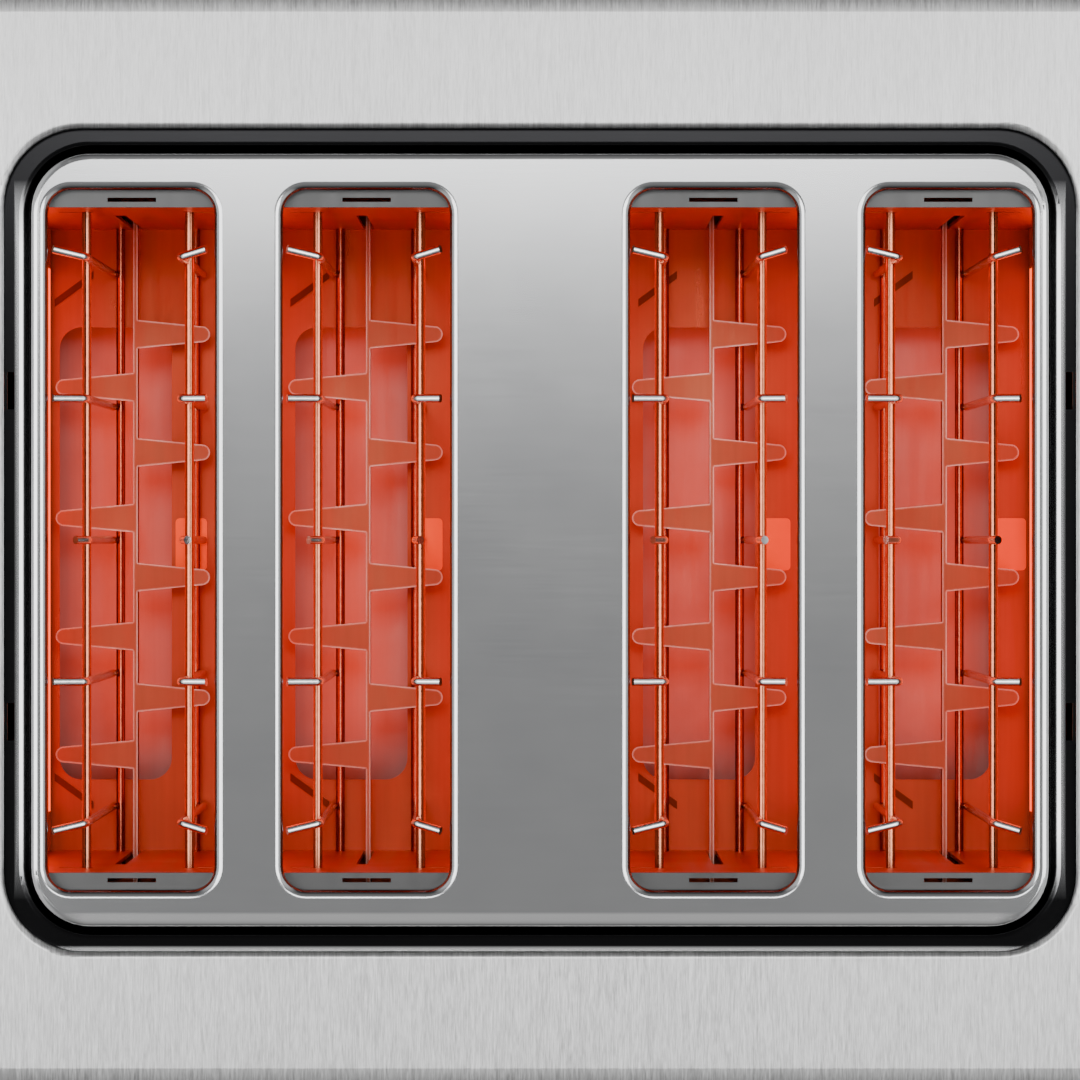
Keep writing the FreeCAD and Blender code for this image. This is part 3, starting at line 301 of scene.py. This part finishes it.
def polished_plate():
    p = Paint("polished_plate", grey(0.56), 1.0, 0.15)
    haze = p.noise(45.0, detail=3.0)
    hairs = p.noise((60.0, 2600.0, 60.0), detail=2.0, distortion=0.4)
    steel = p.ramp(haze, ((0.3, (0.525, 0.53, 0.54)), (0.7, (0.545, 0.55, 0.555))))
    # Painted shade: the slot walls below the rims are coloured near-black.
    shaded_walls = p.blend(slot_wall_shade(p), steel, grey(0.06))
    # Painted highlight: a pale strip along the front edge of the raised part of the plate.
    highlighted = p.blend(front_edge_highlight(p), shaded_walls, grey(0.95))
    # Painted shade: the groove round the plate is coloured near-black.
    p.colour(p.blend(groove_shade_share(p), highlighted, (0.018, 0.018, 0.019)))
    p.roughness(p.math("ADD", p.span(haze, 0.130, 0.140), p.span(hairs, -0.006, 0.008)))
    return p.bump(hairs, 0.0000004)


def rolled_steel(p, scale, colour, dark, light):
    """Rolling marks and blotches: the sockets of the colour, the marks and the blotches."""
    rolled = p.noise(scale, detail=3.0)
    patch = p.noise(38.0, detail=5.0)
    base = p.ramp(rolled, ((0.3, shade(colour, dark)), (0.7, shade(colour, light))))
    return base, rolled, patch


def rolled_surface(p, rolled, patch, smooth, rough):
    p.roughness(p.math("ADD", p.span(rolled, smooth, rough), p.span(patch, -0.03, 0.05)))
    return p.bump(patch, 0.00002, 0.4)


ALONG_Y = (260.0, 9.0, 40.0)
ALONG_Z = (260.0, 40.0, 9.0)


def plain_steel(name, colour, rough, stain=(0.30, 0.24, 0.20), stained=0.15):
    p = Paint(name, colour, 1.0, rough)
    base, rolled, patch = rolled_steel(p, ALONG_Y, colour, 0.86, 1.06)
    p.colour(p.blend(p.span(patch, 0.0, stained, 0.5, 0.75), base, stain))
    return rolled_surface(p, rolled, patch, rough - 0.04, rough + 0.05)


def chamber_steel():
    """Sheet with heat tint and painted red glow, a painted orange glow in colour and emission on its
    pads, and painted shade on its ribs.
    """
    p = Paint("chamber_steel", HEAT_TINT_AND_GLOW, 1.0, 0.30)
    sheet, rolled, patch = rolled_steel(p, ALONG_Y, HEAT_TINT_AND_GLOW, 0.8, 1.0)
    x, y, z = p.position()
    raised = p.span(z, 0.0, 1.0, FLOOR_TOP - 0.0006, FLOOR_TOP - 0.0003)
    off_y = p.math("ABSOLUTE", p.math("SUBTRACT", y, PAD_Y))
    glowing_pad = p.math("MULTIPLY", raised, p.math("LESS_THAN", off_y, PAD_HALF))
    # Painted shade: the raised ribs are coloured dark.
    shaded_ribs = p.blend(raised, sheet, (0.16, 0.03, 0.012))
    # Painted glow: the raised pads are coloured bright orange.
    p.colour(p.blend(glowing_pad, shaded_ribs, (0.95, 0.10, 0.02)))
    # Painted glow: the pads emit orange light, though they are no lamp.
    glow = p.blend(glowing_pad, (0.0, 0.0, 0.0), (0.16, 0.012, 0.0))
    p.link(glow, p.shader.inputs["Emission Color"])
    p.shader.inputs["Emission Strength"].default_value = 1.0
    return rolled_surface(p, rolled, patch, 0.28, 0.38)


def rack_steel():
    """Strip with heat tint and painted red glow, and painted highlights on its edges."""
    p = Paint("rack_steel", RACK_TINT_AND_GLOW, 1.0, 0.36)
    strip, rolled, patch = rolled_steel(p, ALONG_Y, RACK_TINT_AND_GLOW, 0.86, 1.06)
    # Painted highlight: the edges of the strip are coloured pale.
    p.colour(p.blend(p.edge_share(0.0007), strip, (0.95, 0.80, 0.72)))
    return rolled_surface(p, rolled, patch, 0.32, 0.42)


def bulkhead_steel():
    """Dull steel on the ledges, heat tint and painted red glow below them."""
    p = Paint("bulkhead_steel", grey(0.2), 1.0, 0.36)
    walls, rolled, patch = rolled_steel(p, ALONG_Z, HEAT_TINT_AND_GLOW, 0.9, 1.25)
    x, y, z = p.position()
    ledge = p.span(z, 0.0, 1.0, LEDGE_Z - 0.004, LEDGE_Z - 0.0005)
    p.colour(p.blend(ledge, walls, grey(0.12)))
    return rolled_surface(p, rolled, patch, 0.30, 0.42)


def moulded(name, level, rough, texture=0.00006, coat=0.0):
    p = Paint(name, grey(level), 0.0, rough, Coat_Weight=coat, Coat_Roughness=0.06)
    pebble = p.cells(1500.0)
    cloud = p.noise(30.0, detail=4.0)
    rub = p.edge_share(0.0012)
    base = p.ramp(cloud, ((0.3, grey(level * 0.85)), (0.7, grey(level * 1.15))))
    p.colour(p.blend(rub, base, grey(level * 1.9 + 0.01)))
    uneven = p.span(cloud, rough - 0.05, rough + 0.06)
    p.roughness(p.math("ADD", uneven, p.math("MULTIPLY", rub, -0.06)))
    return p.bump(pebble, texture)


def guide_wire():
    """Bright wire at the tips that flare out below the slots, heat tint and painted red glow further
    down.
    """
    p = Paint("guide_wire", grey(0.9), 1.0, 0.18)
    drawn = p.noise(700.0, detail=3.0)
    x, y, z = p.position()
    tip = p.span(z, 0.0, 1.0, *WIRE_TINT_AND_GLOW_ENDS)
    # Heat tint and painted red glow on the lower wire.
    tint_and_glow = p.ramp(drawn, ((0.3, (0.44, 0.15, 0.08)), (0.7, (0.54, 0.20, 0.11))))
    bright = p.ramp(drawn, ((0.3, grey(0.86)), (0.7, grey(0.98))))
    p.colour(p.blend(tip, tint_and_glow, bright))
    p.roughness(p.span(drawn, 0.14, 0.22))
    return p.bump(drawn, 0.00001)


def wire(name, level, rough, heat):
    p = Paint(name, grey(level), 1.0, rough)
    drawn = p.noise(700.0, detail=3.0)
    patch = p.noise(60.0, detail=4.0)
    base = p.ramp(drawn, ((0.3, grey(level * 0.88)), (0.7, grey(level * 1.05))))
    p.colour(p.blend(p.span(patch, 0.0, heat, 0.48, 0.7), base, (0.45, 0.33, 0.22)))
    p.roughness(p.span(patch, rough - 0.04, rough + 0.08))
    return p.bump(drawn, 0.00001)


def mica():
    p = Paint("mica", (0.50, 0.42, 0.33), 0.0, 0.42, Coat_Weight=0.3, Coat_Roughness=0.2)
    flake = p.cells(240.0)
    cloud = p.noise(55.0, detail=5.0)
    base = p.ramp(flake, ((0.1, (0.50, 0.34, 0.24)), (0.8, (0.62, 0.45, 0.33))))
    p.colour(p.blend(p.span(cloud, 0.0, 0.6), base, (0.30, 0.20, 0.13)))
    p.roughness(p.span(flake, 0.30, 0.55, 0.1, 0.8))
    return p.bump(flake, 0.00004)


def glowing_ribbon():
    p = Paint("glowing_ribbon", (0.22, 0.12, 0.09), 1.0, 0.5)
    heat = p.noise((40.0, 60.0, 120.0), detail=2.0)
    glow = p.ramp(heat, ((0.3, (1.0, 0.035, 0.002)), (0.7, (1.0, 0.07, 0.005))))
    p.link(glow, p.shader.inputs["Emission Color"])
    p.shader.inputs["Emission Strength"].default_value = 3.2
    p.colour(p.ramp(heat, ((0.3, (0.16, 0.10, 0.09)), (0.7, (0.30, 0.20, 0.15)))))
    return p.bump(p.noise(2200.0), 0.00001)


def turned_metal():
    p = Paint("turned_metal", grey(0.60), 1.0, 0.22, Anisotropic=0.6)
    rings = p.noise((1400.0, 9.0, 1400.0), detail=2.0)
    hand = p.noise(40.0, detail=3.0)
    p.colour(p.ramp(rings, ((0.3, grey(0.52)), (0.7, grey(0.66)))))
    p.roughness(p.math("ADD", p.span(rings, 0.16, 0.27), p.span(hand, -0.02, 0.04)))
    return p.grain_direction("Y", 0.0).bump(rings, 0.000004)


def coil_and_core():
    p = Paint("magnet_coil", (0.36, 0.13, 0.05), 0.6, 0.38)
    turns = p.noise((30.0, 30.0, 2600.0), detail=1.0)
    p.colour(p.ramp(turns, ((0.35, (0.20, 0.06, 0.02)), (0.65, (0.52, 0.22, 0.09)))))
    p.roughness(p.span(turns, 0.28, 0.46))
    return p.bump(turns, 0.00012)


def board_resin():
    p = Paint("board_resin", (0.03, 0.16, 0.07), 0.0, 0.4, Coat_Weight=0.4, Coat_Roughness=0.15)
    weave = p.cells(900.0)
    tracks = p.noise((55.0, 9.0, 210.0), detail=0.0)
    lit = p.math("GREATER_THAN", tracks, 0.56)
    base = p.ramp(weave, ((0.1, (0.025, 0.13, 0.06)), (0.8, (0.04, 0.20, 0.09))))
    p.colour(p.blend(lit, base, (0.06, 0.28, 0.12)))
    p.roughness(p.span(weave, 0.32, 0.48, 0.1, 0.8))
    return p.bump(weave, 0.00002)


def ceramic():
    p = Paint("terminal_ceramic", (0.72, 0.68, 0.60), 0.0, 0.35, Coat_Weight=0.3, Coat_Roughness=0.1)
    speck = p.noise(900.0, detail=2.0)
    cloud = p.noise(45.0, detail=4.0)
    p.colour(p.ramp(cloud, ((0.3, (0.62, 0.57, 0.48)), (0.7, (0.78, 0.74, 0.66)))))
    p.roughness(p.span(speck, 0.28, 0.45))
    return p.bump(speck, 0.00003)


def printed_mark():
    p = Paint("printed_mark", grey(0.72), 0.0, 0.45)
    worn = p.noise(900.0, detail=3.0)
    p.colour(p.ramp(worn, ((0.25, grey(0.55)), (0.5, grey(0.78)))))
    p.roughness(p.span(worn, 0.40, 0.55))
    return p.bump(worn, 0.000008)


FINISHES = {
    "wrap_steel": brushed_sheet(),
    "plate_steel": polished_plate(),
    "cap_plastic": moulded("cap_plastic", 0.022, 0.42),
    "base_plastic": moulded("base_plastic", 0.018, 0.52, 0.0001),
    "foot_rubber": moulded("foot_rubber", 0.03, 0.72, 0.00015),
    "sheet_steel": plain_steel("sheet_steel", grey(0.56), 0.20),
    "shield_steel": plain_steel("shield_steel", (0.58, 0.26, 0.15), 0.34, (0.34, 0.16, 0.09), 0.35),
    "mica": mica(),
    "ribbon": glowing_ribbon(),
    "guide_wire": guide_wire(),
    "rack_steel": rack_steel(),
    "rod_steel": wire("rod_steel", 0.70, 0.14, 0.1),
    "spring_steel": wire("spring_steel", 0.45, 0.30, 0.2),
    "knob_gloss": moulded("knob_gloss", 0.014, 0.22, 0.00001, 0.8),
    "panel_gloss": moulded("panel_gloss", 0.010, 0.16, 0.000005, 0.9),
    "dial_metal": turned_metal(),
    "button_grey": moulded("button_grey", 0.16, 0.36, 0.00003, 0.2),
    "bezel_black": moulded("bezel_black", 0.016, 0.34, 0.00004, 0.2),
    "magnet_coil": coil_and_core(),
    "keeper_steel": plain_steel("keeper_steel", grey(0.42), 0.40, (0.30, 0.20, 0.14), 0.3),
    "board_resin": board_resin(),
    "gland_nylon": moulded("gland_nylon", 0.026, 0.46, 0.00005),
    "terminal_ceramic": ceramic(),
    "screw_steel": plain_steel("screw_steel", grey(0.50), 0.30),
    "tray_steel": plain_steel("tray_steel", (0.30, 0.29, 0.28), 0.40, (0.21, 0.19, 0.175), 0.3),
}
BULKHEAD_STEEL = bulkhead_steel()
HOT_FINISHES = {
    "front_bulkhead": BULKHEAD_STEEL,
    "back_bulkhead": BULKHEAD_STEEL,
    "chamber_floor": chamber_steel(),
}
for name, node in nodes.items():
    for material_slot in node.material_slots:
        finish = HOT_FINISHES.get(name, FINISHES[material_slot.material.name])
        material_slot.material = finish.material


# ---------------------------------------------------------------- pieces
def piece_from(name, points, faces, finish, smooth=True):
    mesh = bpy.data.meshes.new(name)
    mesh.from_pydata(points, [], faces)
    mesh.polygons.foreach_set("use_smooth", [smooth] * len(faces))
    mesh.materials.append(finish.material)
    mesh.update()
    made = bpy.data.objects.new(name, mesh)
    bpy.context.scene.collection.objects.link(made)
    return made


def tube(path, radius, sides=12):
    """Points and faces of a closed round tube along a path of points."""
    points = []
    faces = []
    up = Vector((0.0, 0.0, 1.0))
    for i, at in enumerate(path):
        before = path[max(i - 1, 0)]
        after = path[min(i + 1, len(path) - 1)]
        along = (after - before).normalized()
        across = along.cross(up).normalized()
        other = across.cross(along).normalized()
        for k in range(sides):
            a = 2 * math.pi * k / sides
            points.append(at + across * (radius * math.cos(a)) + other * (radius * math.sin(a)))
    for i in range(len(path) - 1):
        for k in range(sides):
            a = i * sides + k
            b = i * sides + (k + 1) % sides
            faces.append((a, b, b + sides, a + sides))
    faces.append(tuple(reversed(range(sides))))
    faces.append(tuple(range(len(points) - sides, len(points))))
    return points, faces


SPRING_TURNS = 28
SPRING_WIRE = 0.00045
SPRING_STEPS = 22
SPRING_CLOSED = 1.5
CLOSED_PITCH = 2.3


def lift_spring(side):
    """A helix whose end turns lie closed against each other."""
    low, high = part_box("lift_spring_" + side)
    centre = (low + high) / 2
    radius = (high.x - low.x) / 2 - SPRING_WIRE
    bottom = low.z + SPRING_WIRE
    top = high.z - SPRING_WIRE
    closed = SPRING_CLOSED * CLOSED_PITCH * SPRING_WIRE
    path = []
    for i in range(SPRING_TURNS * SPRING_STEPS + 1):
        turn = i / SPRING_STEPS
        from_top = SPRING_TURNS - turn
        if turn < SPRING_CLOSED:
            z = bottom + closed * turn / SPRING_CLOSED
        elif from_top < SPRING_CLOSED:
            z = top - closed * from_top / SPRING_CLOSED
        else:
            share = (turn - SPRING_CLOSED) / (SPRING_TURNS - 2 * SPRING_CLOSED)
            z = bottom + closed + (top - bottom - 2 * closed) * share
        a = 2 * math.pi * turn
        path.append(Vector((centre.x + radius * math.cos(a), centre.y + radius * math.sin(a), z)))
    points, faces = tube(path, SPRING_WIRE, 10)
    spring = piece_from("spring_coil_" + side, points, faces, FINISHES["spring_steel"])
    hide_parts("lift_spring_" + side)
    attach(spring, "toaster")
    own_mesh(spring)


for side in SIDES:
    lift_spring(side)

# ---------------------------------------------------------------- printed marks on the panel
PRINT = 0.00008
MARK = printed_mark()


def plate_mark(name, outlines, face_y, body, finish):
    """Thin raised shapes standing on a face that looks along -Y. Outlines are lists of (x, z)."""
    points = []
    faces = []
    for outline in outlines:
        start = len(points)
        count = len(outline)
        points += [(x, face_y - PRINT, z) for x, z in outline]
        points += [(x, face_y + PRINT, z) for x, z in outline]
        faces.append(tuple(range(start, start + count)))
        faces.append(tuple(reversed(range(start + count, start + 2 * count))))
        for k in range(count):
            a = start + k
            b = start + (k + 1) % count
            faces.append((a, a + count, b + count, b))
    made = piece_from(name, points, faces, finish, smooth=False)
    shape = bmesh.new()
    shape.from_mesh(made.data)
    bmesh.ops.recalc_face_normals(shape, faces=shape.faces)
    shape.to_mesh(made.data)
    shape.free()
    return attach(made, body)


def bar(cx, cz, length, width, angle):
    """A bar's outline, centred at (cx, cz), with its length turned by angle from +X."""
    ux, uz = math.cos(angle) * length / 2, math.sin(angle) * length / 2
    vx, vz = -math.sin(angle) * width / 2, math.cos(angle) * width / 2
    return [
        (cx - ux - vx, cz - uz - vz),
        (cx + ux - vx, cz + uz - vz),
        (cx + ux + vx, cz + uz + vz),
        (cx - ux + vx, cz - uz + vz),
    ]


def ring(cx, cz, radius, width, steps):
    """A ring's outlines, as short bars end to end."""
    outlines = []
    for i in range(steps):
        a0 = 2 * math.pi * i / steps
        a1 = 2 * math.pi * (i + 1) / steps
        inner = radius - width / 2
        outer = radius + width / 2
        outlines.append([
            (cx + inner * math.cos(a0), cz + inner * math.sin(a0)),
            (cx + outer * math.cos(a0), cz + outer * math.sin(a0)),
            (cx + outer * math.cos(a1), cz + outer * math.sin(a1)),
            (cx + inner * math.cos(a1), cz + inner * math.sin(a1)),
        ])
    return outlines


def digit(number, cx, cz, size):
    """Seven-segment outlines of one digit."""
    half = size / 2
    width = size * 0.3
    segments = {
        "a": (0, half, width * 2, 0), "g": (0, 0, width * 2, 0), "d": (0, -half, width * 2, 0),
        "f": (-width, half / 2, half, 1), "b": (width, half / 2, half, 1),
        "e": (-width, -half / 2, half, 1), "c": (width, -half / 2, half, 1),
    }
    lit = {1: "bc", 2: "abged", 3: "abgcd", 4: "fgbc", 5: "afgcd", 6: "afgedc", 7: "abc"}[number]
    thick = size * 0.16
    outlines = []
    for x, z, length, upright in (segments[s] for s in lit):
        outlines.append(bar(cx + x, cz + z, length + thick, thick, upright * math.pi / 2))
    return outlines


TICKS = 25
TICKS_PER_NUMBER = 4
FIRST_TICK_DEG = 240
TICK_STEP_DEG = 12.5
TICK_GAP = 0.0008
NUMBER_REACH = 0.0034
NUMBER_SIZE = 0.0018
panel_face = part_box("control_panel")[0].y
for side in SIDES:
    low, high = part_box("dial_" + side)
    dial_centre = (low + high) / 2
    rim = (high.x - low.x) / 2
    marks = []
    for i in range(TICKS):
        a = math.radians(FIRST_TICK_DEG - i * TICK_STEP_DEG)
        long_one = i % TICKS_PER_NUMBER == 0
        length = 0.0011 if long_one else 0.0007
        reach = rim + TICK_GAP + length / 2
        marks.append(bar(
            dial_centre.x + reach * math.cos(a), dial_centre.z + reach * math.sin(a),
            length, 0.00045 if long_one else 0.0003, a,
        ))
        if long_one:
            reach = rim + NUMBER_REACH
            marks += digit(i // TICKS_PER_NUMBER + 1, dial_centre.x + reach * math.cos(a),
                           dial_centre.z + reach * math.sin(a), NUMBER_SIZE)
    plate_mark("dial_scale_" + side, marks, panel_face, "toaster", MARK)
    for use in ("cancel", "bagel", "defrost"):
        low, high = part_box(f"button_{use}_{side}")
        c = (low + high) / 2
        if use == "cancel":
            marks = [bar(c.x, c.z, 0.0044, 0.0006, math.radians(a)) for a in (45, 135)]
        elif use == "bagel":
            marks = ring(c.x, c.z, 0.0023, 0.0006, 28)
            marks += ring(c.x, c.z, 0.0008, 0.0004, 16)
        else:
            marks = [bar(c.x, c.z, 0.0050, 0.0004, math.radians(a)) for a in (30, 90, 150)]
            for k in range(6):
                a = math.radians(30 + 60 * k)
                for turn in (0.8, -0.8):
                    marks.append(bar(
                        c.x + 0.0017 * math.cos(a) + 0.0005 * math.cos(a + turn),
                        c.z + 0.0017 * math.sin(a) + 0.0005 * math.sin(a + turn),
                        0.0011, 0.0003, a + turn,
                    ))
        plate_mark(f"button_mark_{use}_{side}", marks, low.y, f"button_{use}_{side}", MARK)


# ---------------------------------------------------------------- floor, room light and lamps
def floor_finish():
    p = Paint("floor", grey(0.86), 0.0, 0.6)
    cloud = p.noise(3.0, detail=5.0)
    p.colour(p.ramp(cloud, ((0.3, grey(0.84)), (0.7, grey(0.89)))))
    p.roughness(p.span(cloud, 0.55, 0.68))
    return p


FLOOR_HALF = 6.0
floor = piece_from(
    "floor",
    [(x * FLOOR_HALF, y * FLOOR_HALF, 0) for x, y in ((-1, -1), (1, -1), (1, 1), (-1, 1))],
    [(0, 1, 2, 3)],
    floor_finish(),
    smooth=False,
)


def room_light():
    """Bright walls to the left and right, dim ones in front and behind, and a mid ceiling."""
    world = bpy.data.worlds.new("room")
    bpy.context.scene.world = world
    world.use_nodes = True
    tree = world.node_tree
    background = tree.nodes["Background"]
    place = tree.nodes.new("ShaderNodeTexCoord").outputs["Generated"]
    parts = tree.nodes.new("ShaderNodeSeparateXYZ")
    tree.links.new(place, parts.inputs[0])

    def sum_of(operation, first, second=None):
        node = tree.nodes.new("ShaderNodeMath")
        node.operation = operation
        tree.links.new(first, node.inputs[0])
        if second is not None:
            tree.links.new(second, node.inputs[1])
        return node.outputs[0]

    def ranged(value, start, end, low, high, kind):
        node = tree.nodes.new("ShaderNodeMapRange")
        node.interpolation_type = kind
        ends = (("From Min", start), ("From Max", end), ("To Min", low), ("To Max", high))
        for socket, at in ends:
            node.inputs[socket].default_value = at
        tree.links.new(value, node.inputs["Value"])
        return node.outputs[0]

    sideways = sum_of("ABSOLUTE", parts.outputs["X"])
    walls = ranged(sideways, 0.25, 0.75, 0.0, 0.75, "SMOOTHSTEP")
    ceiling = ranged(parts.outputs["Z"], 0.2, 1.0, 0.04, 0.36, "LINEAR")
    tree.links.new(sum_of("ADD", walls, ceiling), background.inputs["Strength"])
    background.inputs["Color"].default_value = (1.0, 1.0, 1.0, 1.0)


def lamp(name, at, target, size, power, colour=(1.0, 1.0, 1.0), only=None):
    data = bpy.data.lights.new(name, "AREA")
    data.shape = "RECTANGLE"
    data.size, data.size_y = size
    data.energy = power
    data.color = colour
    made = bpy.data.objects.new(name, data)
    bpy.context.scene.collection.objects.link(made)
    made.location = at
    made.rotation_mode = "QUATERNION"
    made.rotation_quaternion = (Vector(target) - Vector(at)).to_track_quat("-Z", "Y")
    made.visible_camera = False
    if only is not None:
        receivers = bpy.data.collections.new(name + "_receivers")
        for lit in only:
            receivers.objects.link(lit)
        made.light_linking.receiver_collection = receivers
    return made


GUIDES = [node for name, node in nodes.items() if name.startswith("bread_guide")]
TRAYS = [nodes["crumb_tray_" + side] for side in SIDES]
GLOW = (1.0, 0.03, 0.0)
WINDOW_SPREAD = 1.0755
WINDOW_SHIFT = 0.003
TOP = (0, CENTRE.y, TOP_Z)

room_light()
for side, sign in zip(SIDES, (-1, 1)):
    lamp("side_box_" + side, (sign * 0.48, CENTRE.y, TOP_Z + 0.70), TOP, (0.34, 0.56), 3.0)
for name, back, size, power in (
    ("rear_strip", 0.25, (0.42, 0.24), 1.7),
    ("rear_fill", 0.085, (0.42, 0.11), 0.03),
):
    y = CENTRE.y + back
    lamp(name, (0, y, TOP_Z + 1.4), (0, y, TOP_Z), size, power)
lamp("wire_sparkle", (0, CENTRE.y, TOP_Z + 1.3), TOP, (0.5, 1.6), 12.0, only=GUIDES)

FLOOR_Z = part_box("chamber_floor")[0].z
for number in range(1, 5):
    low_left, high_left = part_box(f"bread_guide_{number}_left")
    low_right, high_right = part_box(f"bread_guide_{number}_right")
    x = (low_left.x + high_right.x) / 2
    at = (x, CENTRE.y, high_left.z - 0.012)
    lamp(f"chamber_glow_{number}", at, (x, CENTRE.y, 0), (0.030, 0.130), 0.009, GLOW)
    window = WINDOW_SPREAD * x - WINDOW_SHIFT
    at = (window, CENTRE.y, FLOOR_Z - 0.001)
    lamp(f"tray_glow_{number}", at, (window, CENTRE.y, 0), (0.024, 0.100), 0.023, GLOW, only=TRAYS)
